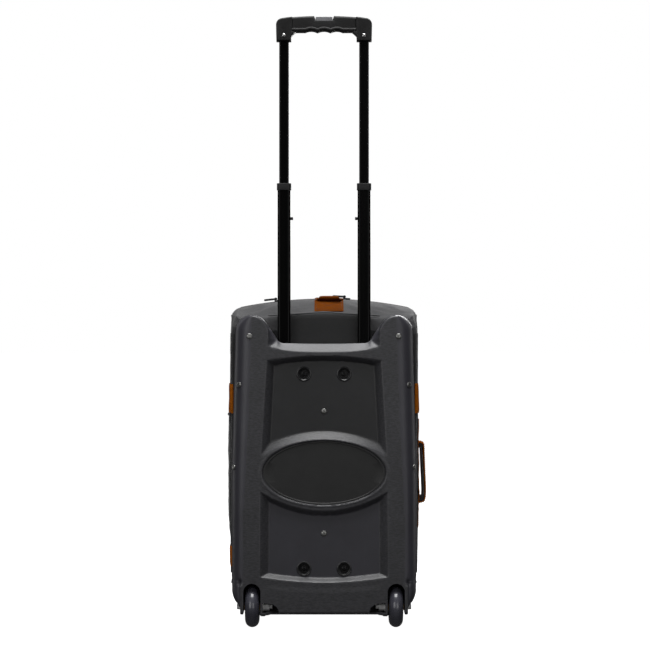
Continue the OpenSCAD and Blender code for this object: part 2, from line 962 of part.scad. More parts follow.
at_mid() main_slider_left();
at_mid() main_pull_left();
at_mid() main_slider_right();
at_mid() main_pull_right();
at_mid() pocket_slider();
at_mid() pocket_pull();
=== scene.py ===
"""Looks for the wheeled skate bag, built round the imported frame. Shapes are written in millimetres
from the bag's mid-plane and made in metres."""

import math

import bmesh
import bpy
import numpy as np
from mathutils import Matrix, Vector, noise
from mathutils.bvhtree import BVHTree


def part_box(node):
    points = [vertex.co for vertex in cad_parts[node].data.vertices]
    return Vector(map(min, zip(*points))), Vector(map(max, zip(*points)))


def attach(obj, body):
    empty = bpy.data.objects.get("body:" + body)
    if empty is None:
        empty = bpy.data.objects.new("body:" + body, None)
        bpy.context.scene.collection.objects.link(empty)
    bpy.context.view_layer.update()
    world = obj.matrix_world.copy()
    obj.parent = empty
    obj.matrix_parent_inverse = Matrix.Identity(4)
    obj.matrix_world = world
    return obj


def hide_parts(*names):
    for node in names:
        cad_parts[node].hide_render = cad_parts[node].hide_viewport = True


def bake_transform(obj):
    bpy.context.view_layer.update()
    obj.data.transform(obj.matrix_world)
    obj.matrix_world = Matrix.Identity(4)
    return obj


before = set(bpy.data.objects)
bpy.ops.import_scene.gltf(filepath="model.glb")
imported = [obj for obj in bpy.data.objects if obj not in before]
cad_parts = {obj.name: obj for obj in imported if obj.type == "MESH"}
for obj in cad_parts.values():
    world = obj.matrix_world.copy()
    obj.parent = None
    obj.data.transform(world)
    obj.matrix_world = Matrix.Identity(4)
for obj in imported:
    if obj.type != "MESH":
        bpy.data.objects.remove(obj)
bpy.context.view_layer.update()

MM = 0.001
BAG = "bag"
LID = "lid"


def corner(node, side, axis):
    """One coordinate of a CAD node's box, in millimetres."""
    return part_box(node)[side][axis] / MM


MID = (corner("rear_shell", 0, 0) + corner("rear_shell", 1, 0)) / 2
BACK = corner("rear_shell", 0, 1)            # rear face of the shell's ribs
SHELL_HALF = corner("rear_shell", 1, 0) - MID
SHELL_LOW = corner("rear_shell", 0, 2)
EAR_TOP = corner("rear_shell", 1, 2)
BODY_BACK = corner("back_panel", 0, 1)
BODY_FRONT = corner("top_panel", 1, 1)
BODY_HALF = corner("top_panel", 1, 0) - MID
BODY_TOP = corner("top_panel", 1, 2)
LID_BACK = corner("lid_panel", 0, 1)
LID_FRONT = corner("lid_panel", 1, 1)
POCKET_FRONT = corner("lid_pocket", 1, 1)
TUBE_X = (corner("inner_tube_right", 0, 0) + corner("inner_tube_right", 1, 0)) / 2 - MID
TUBE_Y = (corner("inner_tube_right", 0, 1) + corner("inner_tube_right", 1, 1)) / 2
GRIP_LOW = corner("grip_blocks", 0, 2)
GRIP_HALF = corner("grip_blocks", 1, 0) - MID
AXLE_Y = (corner("axle_right", 0, 1) + corner("axle_right", 1, 1)) / 2
AXLE_Z = (corner("axle_right", 0, 2) + corner("axle_right", 1, 2)) / 2


# ---------------------------------------------------------------- materials

def new_material(name):
    mat = bpy.data.materials.new(name)
    mat.use_nodes = True
    tree = mat.node_tree
    return mat, tree, tree.nodes["Principled BSDF"]


def settings(sockets, **values):
    """Give sockets their values; an underscore in a key stands for a space."""
    for key, value in values.items():
        sockets.inputs[key.replace("_", " ")].default_value = value


def math_node(tree, operation, a, b=None):
    made = tree.nodes.new("ShaderNodeMath")
    made.operation = operation
    for k, v in enumerate((a, b)):
        if v is None:
            continue
        if hasattr(v, "is_output"):
            tree.links.new(v, made.inputs[k])
        else:
            made.inputs[k].default_value = v
    return made.outputs[0]


def times(tree, a, b):
    return math_node(tree, "MULTIPLY", a, b)


def plus(tree, a, b):
    return math_node(tree, "ADD", a, b)


def object_coords(tree, scale=(1, 1, 1), uv=False):
    coord = tree.nodes.new("ShaderNodeTexCoord")
    mapping = tree.nodes.new("ShaderNodeMapping")
    mapping.inputs["Scale"].default_value = scale
    tree.links.new(coord.outputs["UV" if uv else "Object"], mapping.inputs["Vector"])
    return mapping.outputs["Vector"]


def noise_tex(tree, vector, scale, detail=3.0, rough=0.5):
    tex = tree.nodes.new("ShaderNodeTexNoise")
    settings(tex, Scale=scale, Detail=detail, Roughness=rough)
    tree.links.new(vector, tex.inputs["Vector"])
    return tex.outputs["Fac"]


def ramp(tree, fac, stops):
    made = tree.nodes.new("ShaderNodeValToRGB")
    elements = made.color_ramp.elements
    while len(elements) < len(stops):
        elements.new(0.5)
    for element, (place, colour) in zip(elements, stops):
        element.position = place
        element.color = (*colour, 1)
    tree.links.new(fac, made.inputs["Fac"])
    return made.outputs["Color"]


def grey(value, tint=(1, 1, 1)):
    return tuple(value * t for t in tint)


def bump(tree, height, strength, distance, bsdf, before=None):
    made = tree.nodes.new("ShaderNodeBump")
    settings(made, Strength=strength, Distance=distance)
    tree.links.new(height, made.inputs["Height"])
    if before is not None:
        tree.links.new(before, made.inputs["Normal"])
    tree.links.new(made.outputs["Normal"], bsdf.inputs["Normal"])
    return made.outputs["Normal"]


def set_range(tree, fac, low, high, bsdf, socket):
    made = tree.nodes.new("ShaderNodeMapRange")
    settings(made, To_Min=low, To_Max=high)
    tree.links.new(fac, made.inputs["Value"])
    tree.links.new(made.outputs[0], bsdf.inputs[socket])


def edge_wear(tree):
    """Bright on worn convex edges, from the mesh's own pointiness."""
    geo = tree.nodes.new("ShaderNodeNewGeometry")
    made = tree.nodes.new("ShaderNodeMapRange")
    settings(made, From_Min=0.505, From_Max=0.56)
    tree.links.new(geo.outputs["Pointiness"], made.inputs["Value"])
    return made.outputs[0]


def mix_colour(tree, fac, a, b):
    made = tree.nodes.new("ShaderNodeMix")
    made.data_type = "RGBA"
    for value, sock in ((fac, made.inputs[0]), (a, made.inputs[6]), (b, made.inputs[7])):
        if hasattr(value, "is_output"):
            tree.links.new(value, sock)
        elif isinstance(value, tuple):
            sock.default_value = (*value, 1)
        else:
            sock.default_value = value
    return made.outputs[2]


def plastic(name, base, rough=0.42, grain=2200.0, depth=0.00012, tint=(1, 1, 1.06), strength=0.35, shine=0.5):
    """Moulded plastic: a fine spark-eroded grain, uneven gloss, and slightly lighter worn edges."""
    mat, tree, bsdf = new_material(name)
    coords = object_coords(tree)
    cloudy = noise_tex(tree, coords, 28.0, 4.0)
    body = ramp(tree, cloudy, [(0.3, grey(base * 0.86, tint)), (0.7, grey(base * 1.14, tint))])
    worn = times(tree, edge_wear(tree), 0.35)
    colour = mix_colour(tree, worn, body, grey(min(1, base * 2.6 + 0.01), tint))
    tree.links.new(colour, bsdf.inputs["Base Color"])
    set_range(tree, noise_tex(tree, coords, 60.0, 5.0), rough - 0.06, rough + 0.08, bsdf, "Roughness")
    bump(tree, noise_tex(tree, coords, grain, 2.0, 0.6), strength, depth, bsdf)
    settings(bsdf, Specular_IOR_Level=shine)
    return mat


def painted(tree, mask):
    """One of the masks that the back shell's mesh carries."""
    made = tree.nodes.new("ShaderNodeAttribute")
    made.attribute_name = mask
    return made.outputs["Fac"]


def shell_plastic(name):
    """The back shell: smooth side bands and sunk panels, finely ribbed grain on the flat ribs."""
    mat, tree, bsdf = new_material(name)
    coords = object_coords(tree)
    rib, deep = (painted(tree, mask) for mask in ("rib", "deep"))
    speckle = ramp(tree, noise_tex(tree, object_coords(tree, (0.35, 1, 1.5)), 430.0, 3.0, 0.65),
                   [(0.36, (0.55, 0.55, 0.55)), (0.64, (1.45, 1.45, 1.45))])
    cloudy = noise_tex(tree, coords, 22.0, 5.0)
    band = ramp(tree, cloudy, [(0.3, (0.0375, 0.0365, 0.046)), (0.7, (0.044, 0.043, 0.054))])
    flat = ramp(tree, cloudy, [(0.3, (0.033, 0.033, 0.037)), (0.7, (0.039, 0.039, 0.044))])
    floor = ramp(tree, cloudy, [(0.3, (0.0075, 0.0075, 0.0085)), (0.7, (0.0105, 0.0105, 0.012))])
    colour = mix_colour(tree, rib, band, flat)
    colour = mix_colour(tree, deep, colour, floor)
    mottled = tree.nodes.new("ShaderNodeVectorMath")
    mottled.operation = "MULTIPLY"
    tree.links.new(colour, mottled.inputs[0])
    tree.links.new(speckle, mottled.inputs[1])
    amount = times(tree, rib, 0.8)
    colour = mix_colour(tree, amount, colour, mottled.outputs[0])
    scuff = noise_tex(tree, object_coords(tree, (1, 1, 0.12)), 160.0, 6.0, 0.7)
    marks = ramp(tree, scuff, [(0.66, (0, 0, 0)), (0.74, (1, 1, 1))])
    marks = times(tree, marks, 0.10)
    colour = mix_colour(tree, marks, colour, (0.11, 0.11, 0.12))
    worn = times(tree, edge_wear(tree), 0.25)
    colour = mix_colour(tree, worn, colour, (0.12, 0.12, 0.13))
    tree.links.new(colour, bsdf.inputs["Base Color"])
    set_range(tree, noise_tex(tree, coords, 90.0, 5.0), 0.34, 0.46, bsdf, "Roughness")
    settings(bsdf, Coat_Weight=0.3, Coat_Roughness=0.4)
    pebble = noise_tex(tree, object_coords(tree, (0.45, 1, 1.7)), 620.0, 3.0, 0.6)
    grain = noise_tex(tree, coords, 2600.0, 2.0, 0.5)
    amount = times(tree, pebble, rib)
    total = plus(tree, times(tree, grain, 0.35), amount)
    bump(tree, total, 0.5, 0.0004, bsdf)
    return mat


def woven(name, dark, light, pitch=0.00062, rough=0.78, sheen=0.25, wrinkle=0.0):
    """Plain-weave nylon: over-and-under threads in both directions, slubs and soft colour drift."""
    mat, tree, bsdf = new_material(name)
    coords = object_coords(tree)
    parts = tree.nodes.new("ShaderNodeSeparateXYZ")
    tree.links.new(coords, parts.inputs[0])
    turn = 2 * math.pi / pitch
    across = plus(tree, parts.outputs[0], parts.outputs[1])
    warp = math_node(tree, "SINE", times(tree, across, turn))
    weft = math_node(tree, "SINE", times(tree, parts.outputs[2], turn))
    skew = math_node(tree, "SUBTRACT", parts.outputs[0], parts.outputs[1])
    flat_weft = math_node(tree, "SINE", times(tree, skew, turn))
    geo = tree.nodes.new("ShaderNodeNewGeometry")
    normal = tree.nodes.new("ShaderNodeSeparateXYZ")
    tree.links.new(geo.outputs["True Normal"], normal.inputs[0])
    lying = math_node(tree, "ABSOLUTE", normal.outputs[2])
    lying = math_node(tree, "GREATER_THAN", lying, 0.75)
    other = plus(tree, times(tree, weft, math_node(tree, "SUBTRACT", 1.0, lying)),
                      times(tree, flat_weft, lying))
    cloth = times(tree, warp, other)
    slub = noise_tex(tree, coords, 420.0, 3.0, 0.6)
    height = plus(tree, times(tree, cloth, 0.5), slub)
    drift = noise_tex(tree, coords, 16.0, 4.0)
    body = ramp(tree, drift, [(0.3, dark), (0.72, light)])
    thread = times(tree, plus(tree, cloth, 1.0), 0.14)
    colour = mix_colour(tree, thread, body, tuple(min(1, c * 1.9) for c in light))
    tree.links.new(colour, bsdf.inputs["Base Color"])
    set_range(tree, slub, rough - 0.08, rough + 0.08, bsdf, "Roughness")
    first = bump(tree, height, 0.5, 0.0002, bsdf)
    if wrinkle:
        creases = noise_tex(tree, object_coords(tree, (1, 1, 2.2)), 34.0, 3.0, 0.55)
        bump(tree, creases, wrinkle, 0.004, bsdf, first)
    settings(bsdf, Sheen_Weight=sheen, Sheen_Roughness=0.45)
    return mat


def webbing(name, dark, light, pitch=0.0016):
    """Heavy webbing: chevron ribs along the strap from its UVs, with fuzz and darker dips."""
    mat, tree, bsdf = new_material(name)
    uv = object_coords(tree, uv=True)
    parts = tree.nodes.new("ShaderNodeSeparateXYZ")
    tree.links.new(uv, parts.inputs[0])
    turn = 2 * math.pi / pitch
    folded = math_node(tree, "PINGPONG", parts.outputs[0], 0.006)
    twill = plus(tree, times(tree, folded, 1.1), parts.outputs[1])
    ribs = math_node(tree, "SINE", times(tree, twill, turn))
    cross = math_node(tree, "SINE", times(tree, parts.outputs[0], turn * 1.4))
    weave = plus(tree, ribs, times(tree, cross, 0.5))
    fuzz = noise_tex(tree, object_coords(tree), 900.0, 3.0, 0.6)
    height = plus(tree, times(tree, weave, 0.5), fuzz)
    shade = plus(tree, times(tree, weave, 0.2), 0.5)
    body = ramp(tree, shade, [(0.25, dark), (0.75, light)])
    patchy = noise_tex(tree, object_coords(tree), 70.0, 4.0)
    body = mix_colour(tree, times(tree, patchy, 0.45), body, dark)
    tree.links.new(body, bsdf.inputs["Base Color"])
    settings(bsdf, Roughness=0.8, Specular_IOR_Level=0.08)
    bump(tree, height, 0.7, 0.00045, bsdf)
    return mat


def metal(name, colour, rough=0.25, brushed=(1, 1, 1), scale=900.0, depth=0.00003, metallic=1.0, shine=0.5):
    """Metal or anodised finish with brush lines that break up its gloss."""
    mat, tree, bsdf = new_material(name)
    coords = object_coords(tree, brushed)
    lines = noise_tex(tree, coords, scale, 4.0, 0.6)
    cloudy = noise_tex(tree, object_coords(tree), 45.0, 4.0)
    darker, lighter = tuple(c * 0.8 for c in colour), tuple(min(1, c * 1.1) for c in colour)
    shade = ramp(tree, cloudy, [(0.3, darker), (0.7, lighter)])
    tree.links.new(shade, bsdf.inputs["Base Color"])
    set_range(tree, lines, rough - 0.07, rough + 0.1, bsdf, "Roughness")
    settings(bsdf, Metallic=metallic, Specular_IOR_Level=shine)
    bump(tree, lines, 0.3, depth, bsdf)
    return mat


def urethane(name):
    """Dark translucent-looking skate wheel urethane with a gloss coat and a scuffed running band."""
    mat, tree, bsdf = new_material(name)
    coords = object_coords(tree)
    cloudy = noise_tex(tree, coords, 55.0, 4.0)
    shade = ramp(tree, cloudy, [(0.3, (0.045, 0.045, 0.06)), (0.7, (0.072, 0.072, 0.09))])
    geo = tree.nodes.new("ShaderNodeNewGeometry")
    normal = tree.nodes.new("ShaderNodeSeparateXYZ")
    tree.links.new(geo.outputs["Normal"], normal.inputs[0])
    side = math_node(tree, "ABSOLUTE", normal.outputs[0])
    tread = math_node(tree, "LESS_THAN", side, 0.3)
    dust = noise_tex(tree, object_coords(tree, (4, 1, 1)), 380.0, 5.0, 0.7)
    dusty = times(tree, times(tree, dust, tread), 0.22)
    shade = mix_colour(tree, dusty, shade, (0.15, 0.15, 0.165))
    tree.links.new(shade, bsdf.inputs["Base Color"])
    set_range(tree, dust, 0.2, 0.34, bsdf, "Roughness")
    settings(bsdf, Coat_Weight=0.6, Coat_Roughness=0.08)
    bump(tree, dust, 0.12, 0.0001, bsdf)
    return mat


MAT = {
    "shell": shell_plastic("shell_moulding"),
    "badge": plastic("badge_plain", 0.0155, 0.5, 900.0, 0.0004, (1, 1, 1), strength=0.45),
    "black": plastic("black_moulding", 0.008, 0.42, 1800.0, shine=0.35),
    "cup": plastic("cup_moulding", 0.012, 0.24, 1600.0, 0.00004, (1, 1, 1.05)),
    "grip": plastic("grip_moulding", 0.007, 0.34, 1500.0, 0.00018, (1, 1, 1.03), shine=0.3),
    "grip_soft": plastic("grip_soft_touch", 0.006, 0.45, 1100.0, 0.0003, (1, 1, 1.03), 0.5, 0.3),
    # painted highlight: the push button is a light grey, far lighter than the black grip, standing in for
    # light on its top
    "button": plastic("button_painted_highlight", 0.13, 0.3, 1800.0),
    "grey": woven("top_cloth", (0.046, 0.046, 0.048), (0.070, 0.070, 0.073), wrinkle=0.45, sheen=0.1),
    "dark": woven("side_cloth", (0.018, 0.018, 0.02), (0.028, 0.028, 0.03), wrinkle=0.25),
    # the back panel is black cloth made darker than the side cloth; that extra darkness is painted shade for
    # the notch between the tubes
    "back": woven("back_cloth_painted_shade", (0.008, 0.008, 0.0085), (0.013, 0.013, 0.0135), pitch=0.0008, wrinkle=0.1,
                  sheen=0.12),
    "lining": woven("lining_cloth", (0.11, 0.11, 0.12), (0.16, 0.16, 0.17), pitch=0.0005, wrinkle=0.3),
    # painted highlight: the rear top piping's light grey stands in for the light caught along its rolled edge
    "edge": woven("light_piping_painted_highlight", (0.075, 0.075, 0.078), (0.11, 0.11, 0.113), pitch=0.0009),
    "trim": woven("trim_cloth", (0.010, 0.010, 0.011), (0.018, 0.018, 0.019), pitch=0.0009),
    "orange": webbing("orange_webbing_cloth", (0.36, 0.085, 0.002), (0.60, 0.17, 0.006)),
    # painted shade: a darker copy of the orange webbing for the top handle, which faces the overhead lamp
    "orange_painted_shade": webbing("orange_webbing_painted_shade", (0.12, 0.027, 0.0005), (0.225, 0.058, 0.001)),
    "thread": woven("sewing_thread", (0.07, 0.014, 0.001), (0.12, 0.026, 0.001), pitch=0.0004),
    "dark_thread": woven("dark_thread", (0.05, 0.05, 0.052), (0.08, 0.08, 0.083), pitch=0.0004),
    "tube": metal("tube_anodised", (0.0012, 0.0012, 0.0013), 0.2, (8, 8, 0.15), 500.0, 0.00002, 0.0, 0.12),
    "tube_plain": metal("tube_mill", (0.5, 0.5, 0.51), 0.35, (8, 8, 0.15), 500.0),
    "steel": metal("plated_steel", (0.72, 0.72, 0.71), 0.22),
    # painted reflection: the plated axle bolts and nuts are a near-white non-metal, standing in for a bright
    # surround reflected in the plating
    "painted_reflection_steel": metal("plated_steel_painted_reflection", (0.95, 0.95, 0.93), 0.34, metallic=0.0, shine=0.8),
    "rivet": metal("rivet_steel", (0.30, 0.30, 0.29), 0.36),
    "zinc": metal("zinc_steel", (0.4, 0.4, 0.41), 0.45),
    "blackened": metal("blackened_steel", (0.035, 0.035, 0.036), 0.28),
    "brass": metal("turned_brass", (0.86, 0.60, 0.32), 0.3, metallic=0.35),
    "urethane": urethane("wheel_urethane"),
    "core": plastic("wheel_core_moulding", 0.03, 0.4, 1500.0),
    "rubber": plastic("foot_rubber_moulding", 0.012, 0.7, 1200.0, 0.0003, (1, 1, 1)),
}


# ---------------------------------------------------------------- mesh helpers

def ramp01(value):
    return np.clip(value, 0.0, 1.0)


def eased(t):
    """0 to 1 with a level start and end."""
    return t * t * (3 - 2 * t)


def to_object(name, verts, faces, mat, body, smooth=True, sharp=35.0, uvs=None):
    """A mesh piece from millimetre points. uvs is one (u, v) in metres for each vertex."""
    mesh = bpy.data.meshes.new(name)
    mesh.from_pydata([tuple(c * MM for c in v) for v in verts], [], [tuple(f) for f in faces])
    obj = bpy.data.objects.new(name, mesh)
    bpy.context.scene.collection.objects.link(obj)
    mesh.materials.append(mat)
    if uvs is not None:
        layer = mesh.uv_layers.new(name="UVMap")
        flat = [c for loop in mesh.loops for c in uvs[loop.vertex_index]]
        layer.data.foreach_set("uv", flat)
    finish_mesh(obj, smooth, sharp)
    if body:
        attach(obj, body)
    return obj


def finish_mesh(obj, smooth=True, sharp=35.0):
    bm = bmesh.new()
    bm.from_mesh(obj.data)
    bmesh.ops.recalc_face_normals(bm, faces=bm.faces)
    bm.to_mesh(obj.data)
    bm.free()
    if smooth:
        obj.data.polygons.foreach_set("use_smooth", [True] * len(obj.data.polygons))
        obj.data.set_sharp_from_angle(angle=math.radians(sharp))
    obj.data.update()


def apply_modifiers(obj):
    depsgraph = bpy.context.evaluated_depsgraph_get()
    made = bpy.data.meshes.new_from_object(obj.evaluated_get(depsgraph))
    obj.modifiers.clear()
    old = obj.data
    obj.data = made
    bpy.data.meshes.remove(old)


def grid_faces(rows, cols, close_rows=False, close_cols=False):
    out = []
    for i in range(rows if close_rows else rows - 1):
        for j in range(cols if close_cols else cols - 1):
            a = i * cols + j
            b = i * cols + (j + 1) % cols
            c = ((i + 1) % rows) * cols + (j + 1) % cols
            d = ((i + 1) % rows) * cols + j
            out.append((a, b, c, d))
    return out


def grid_border(rows, cols):
    """The outer points of a grid, in order."""
    border = list(range(cols)) + [i * cols + cols - 1 for i in range(1, rows)]
    border += [(rows - 1) * cols + j for j in range(cols - 2, -1, -1)]
    return border + [i * cols for i in range(rows - 2, 0, -1)]


def capped(verts, cols):
    """Faces of a run of rings with cols points each, closed at both ends."""
    faces = grid_faces(len(verts) // cols, cols, False, True)
    faces.append(tuple(range(cols))[::-1])
    faces.append(tuple(range(len(verts) - cols, len(verts))))
    return faces


def joined(name, parts, mat, body, sharp=35.0, smooth=True):
    """One object from several (verts, faces) lists."""
    verts, faces = [], []
    for v, f in parts:
        base = len(verts)
        verts.extend(v)
        faces.extend(tuple(k + base for k in face) for face in f)
    return to_object(name, verts, faces, mat, body, smooth, sharp)


def frames_along(path, up):
    """Tangent, sideways and upright directions at every point of a path."""
    path = [Vector(p) for p in path]
    out = []
    for k, p in enumerate(path):
        a = path[max(0, k - 1)]
        b = path[min(len(path) - 1, k + 1)]
        tangent = (b - a).normalized()
        lift = up[k] if isinstance(up, list) else Vector(up)
        side = tangent.cross(lift)
        side = side.normalized() if side.length > 1e-6 else Vector((1, 0, 0))
        out.append((p, tangent, side, side.cross(tangent).normalized()))
    return out


def tube(path, radius, sides=8, up=(0.13, 0.31, 0.94), closed=False):
    verts, path = [], list(path)
    rows = frames_along([path[-1]] + path + [path[0]], up)[1:-1] if closed else frames_along(path, up)
    for p, _, side, lift in rows:
        for k in range(sides):
            a = 2 * math.pi * k / sides
            verts.append(tuple(p + side * (radius * math.cos(a)) + lift * (radius * math.sin(a))))
    return verts, grid_faces(len(rows), sides, True, True) if closed else capped(verts, sides)


def strap(name, path, normals, width, thick, body, mat, taper=None):
    """A flat strap with rounded edges. Widths may change along it; UVs run in metres."""
    rows = frames_along(path, [Vector(n) for n in normals])
    verts, uvs, length, last = [], [], 0.0, None
    profile = [(u, thick / 2 * (1 - 0.75 * abs(u) ** 6)) for u in (-1 + 2 * k / 10 for k in range(11))]
    ring = [(u, h) for u, h in profile] + [(u, -h) for u, h in reversed(profile)]
    for row, (p, _, side, lift) in enumerate(rows):
        if last is not None:
            length += (p - last).length
        last = p
        w = (taper[row] if taper else width) / 2
        for u, h in ring:
            verts.append(tuple(p + side * (u * w) + lift * h))
            uvs.append((u * w * MM, length * MM))
    return to_object(name, verts, capped(verts, len(ring)), mat, body, True, 60.0, uvs)


def stitches(path, normals, length=2.6, gap=1.4, radius=0.35, rise=0.15):
    """Short sewn stitches lying along a path."""
    pts = [Vector(p) for p in path]
    ups = [Vector(n).normalized() for n in normals]
    lengths = [0.0]
    for a, b in zip(pts, pts[1:]):
        lengths.append(lengths[-1] + (b - a).length)

    def at(s):
        s = min(max(s, 0.0), lengths[-1])
        k = max(i for i in range(len(lengths)) if lengths[i] <= s + 1e-9)
        k = min(k, len(pts) - 2)
        span = lengths[k + 1] - lengths[k]
        t = (s - lengths[k]) / span if span > 0 else 0
        return pts[k].lerp(pts[k + 1], t), ups[k].lerp(ups[k + 1], t)

    verts, faces = [], []
    s = gap / 2
    while s + length <= lengths[-1]:
        line = []
        for k, lift in enumerate((-0.35, 1.0, 1.0, -0.35)):
            p, n = at(s + length * (0.0, 0.22, 0.78, 1.0)[k])
            line.append(p + n * (rise + radius * 0.5 * lift))
        v, f = tube(line, radius, 5)
        base = len(verts)
        verts.extend(v)
        faces.extend(tuple(i + base for i in face) for face in f)
        s += length + gap
    return verts, faces


def lathe(profile, centre, axis, sides=40):
    """A turned shape: profile is (radius, distance along the axis) from the centre."""
    axis = Vector(axis).normalized()
    start = Vector((0, 0, 1)) if abs(axis.z) < 0.9 else Vector((1, 0, 0))
    e1 = axis.cross(start).normalized()
    e2 = axis.cross(e1)
    verts = []
    for r, d in profile:
        for k in range(sides):
            a = 2 * math.pi * k / sides
            p = Vector(centre) + axis * d + (e1 * math.cos(a) + e2 * math.sin(a)) * max(r, 1e-4)
            verts.append(tuple(p))
    return verts, capped(verts, sides)


def box_part(lo, hi):
    """A plain box between two corners."""
    verts = [(x, y, z) for x in (lo[0], hi[0]) for y in (lo[1], hi[1]) for z in (lo[2], hi[2])]
    return verts, [(0, 1, 3, 2), (4, 6, 7, 5), (0, 4, 5, 1), (2, 3, 7, 6), (0, 2, 6, 4), (1, 5, 7, 3)]


def bevelled_copy(name, node_name, mat, body, width=0.6, segments=2):
    """A piece with a CAD node's shape and softened edges, standing for that node."""
    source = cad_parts[node_name]
    obj = bpy.data.objects.new(name, source.data.copy())
    bpy.context.scene.collection.objects.link(obj)
    bm = bmesh.new()
    bm.from_mesh(obj.data)
    bmesh.ops.remove_doubles(bm, verts=bm.verts, dist=1e-6)
    bmesh.ops.dissolve_limit(bm, angle_limit=math.radians(1.5), verts=bm.verts, edges=bm.edges)
    bm.to_mesh(obj.data)
    bm.free()
    obj.data.materials.clear()
    obj.data.materials.append(mat)
    mod = obj.modifiers.new("soften", "BEVEL")
    mod.width = width * MM
    mod.segments = segments
    mod.limit_method = "ANGLE"
    mod.angle_limit = math.radians(30)
    mod.use_clamp_overlap = True
    apply_modifiers(obj)
    finish_mesh(obj, True, 40.0)
    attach(obj, body)
    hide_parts(node_name)
    return obj


def cut(obj, cutter_parts):
    """Take the cutter parts out of a piece."""
    tool = joined(obj.name + "_cutter", cutter_parts, obj.data.materials[0], None, smooth=False)
    mod = obj.modifiers.new("cut", "BOOLEAN")
    mod.operation = "DIFFERENCE"
    mod.solver = "MANIFOLD"
    mod.object = tool
    apply_modifiers(obj)
    bpy.data.objects.remove(tool)


def paint(mat, *node_names):
    """Give CAD nodes that are shown as they are a material."""
    for node_name in node_names:
        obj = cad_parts[node_name]
        obj.data.materials.clear()
        obj.data.materials.append(mat)


def soft_step(value, soft=0.18):
    """A 0 to 1 ramp with its two corners slightly rounded."""
    t = ramp01(value)
    return t * (1 - soft) + eased(t) * soft


def rounded_prism(points, y0, y1, r, steps=4):
    """A closed outline seen from behind, run from y0 to y1 with its two rims rounded by r."""
    count = len(points)
    turn = sum(a[0] * b[1] - b[0] * a[1] for a, b in zip(points, points[1:] + points[:1]))
    if turn < 0:
        points = points[::-1]
    inward = []
    for k in range(count):
        (ax, az), (bx, bz), (cx, cz) = points[k - 1], points[k], points[(k + 1) % count]
        first = Vector((az - bz, bx - ax)).normalized()
        second = Vector((bz - cz, cx - bx)).normalized()
        mid = (first + second).normalized()
        inward.append(mid / max(0.6, mid.dot(first)))
    verts = []
    rims = [(r * (1 - math.sin(a)), y0 + r * (1 - math.cos(a)))
            for a in (math.pi / 2 * k / steps for k in range(steps + 1))]
    rims += [(inset, y1 + y0 - y) for inset, y in reversed(rims)]
    for inset, y in rims:
        verts += [(x + n.x * inset, y, z + n.y * inset) for (x, z), n in zip(points, inward)]
    return verts, capped(verts, count)


# ---------------------------------------------------------------- back shell

CORNER_R = 38.0
CORNER_X = SHELL_HALF - CORNER_R
CORNER_Z = 65.0
FOOT_Z = SHELL_LOW + 0.6
STRIP_X = 141.3
EAR_R = 28.0
EAR_X = 122.5
EAR_Z = EAR_TOP - EAR_R
NOTCH_Z = 482.0
NOTCH_X = 67.5
NOTCH_R = 15.0
NOTCH_A = math.radians(54.7)
TAPER_Z = 268.0
EAR_SIDE = EAR_X + EAR_R


def shell_bottom(x):
    """Lower edge of the shell at a distance x from the mid-plane: flat to the strip beside each
    wheel slot, then up round the corner."""
    over = np.clip(x - CORNER_X, 0.0, CORNER_R - 1e-6)
    arc = CORNER_Z - np.sqrt(CORNER_R ** 2 - over ** 2)
    lip = 3.0 * ramp01((x - 97) / 3.0) * ramp01((110 - x) / 3.0)
    return np.where(x < STRIP_X, FOOT_Z - lip, arc)


def shell_top(x):
    """Upper edge: notch floor, flank, ear, then the taper down the side."""
    floor = NOTCH_Z + 1.2 * np.clip(x / 67.0, 0, 1) ** 2
    f_z = NOTCH_Z + 1.2 + NOTCH_R
    over = np.clip(x - NOTCH_X, 0.0, NOTCH_R * math.sin(NOTCH_A))
    fillet = f_z - np.sqrt(NOTCH_R ** 2 - over ** 2)
    t2x = NOTCH_X + NOTCH_R * math.sin(NOTCH_A)
    t2z = f_z - NOTCH_R * math.cos(NOTCH_A)
    t1x = EAR_X - EAR_R * math.sin(NOTCH_A)
    t1z = EAR_Z + EAR_R * math.cos(NOTCH_A)
    flank = t2z + (x - t2x) * (t1z - t2z) / (t1x - t2x)
    ear = EAR_Z + np.sqrt(np.maximum(EAR_R ** 2 - (x - EAR_X) ** 2, 0.0))
    side = EAR_Z - (x - EAR_SIDE) * (EAR_Z - TAPER_Z) / (SHELL_HALF - EAR_SIDE)
    out = np.where(x < NOTCH_X, floor, fillet)
    out = np.where(x > t2x, flank, out)
    out = np.where(x > t1x, ear, out)
    return np.where(x > EAR_SIDE, side, out)


def side_edge(z):
    """Half-width of the shell's outline at height z."""
    low = np.clip(CORNER_Z - z, 0, CORNER_R - 1e-6)
    corner_x = np.maximum(CORNER_X + np.sqrt(CORNER_R ** 2 - low ** 2), STRIP_X)
    taper = SHELL_HALF - (z - TAPER_Z) * (SHELL_HALF - EAR_SIDE) / (EAR_Z - TAPER_Z)
    up = np.clip(z - EAR_Z, 0, EAR_R - 1e-6)
    ear = EAR_X + np.sqrt(EAR_R ** 2 - up ** 2)
    out = np.where(z < CORNER_Z, corner_x, SHELL_HALF)
    out = np.where(z > TAPER_Z, taper, out)
    return np.where(z > EAR_Z, ear, out)


OVAL_Z = 264.0
OVAL_A, OVAL_B = 105.0, 55.0
SLOT_X, SLOT_Z, SLOT_R = 122.0, 62.4, 14.6       # wheel slot: middle and radius of its rounded top
BOLT_X, BOLT_HEIGHTS = 34.0, (101.0, 431.0)
SHELL_WALL = 2.6
FLOOR_DEPTH = 9.2
BADGE_DEPTH = 4.0
BAND_DEPTH = 25.0


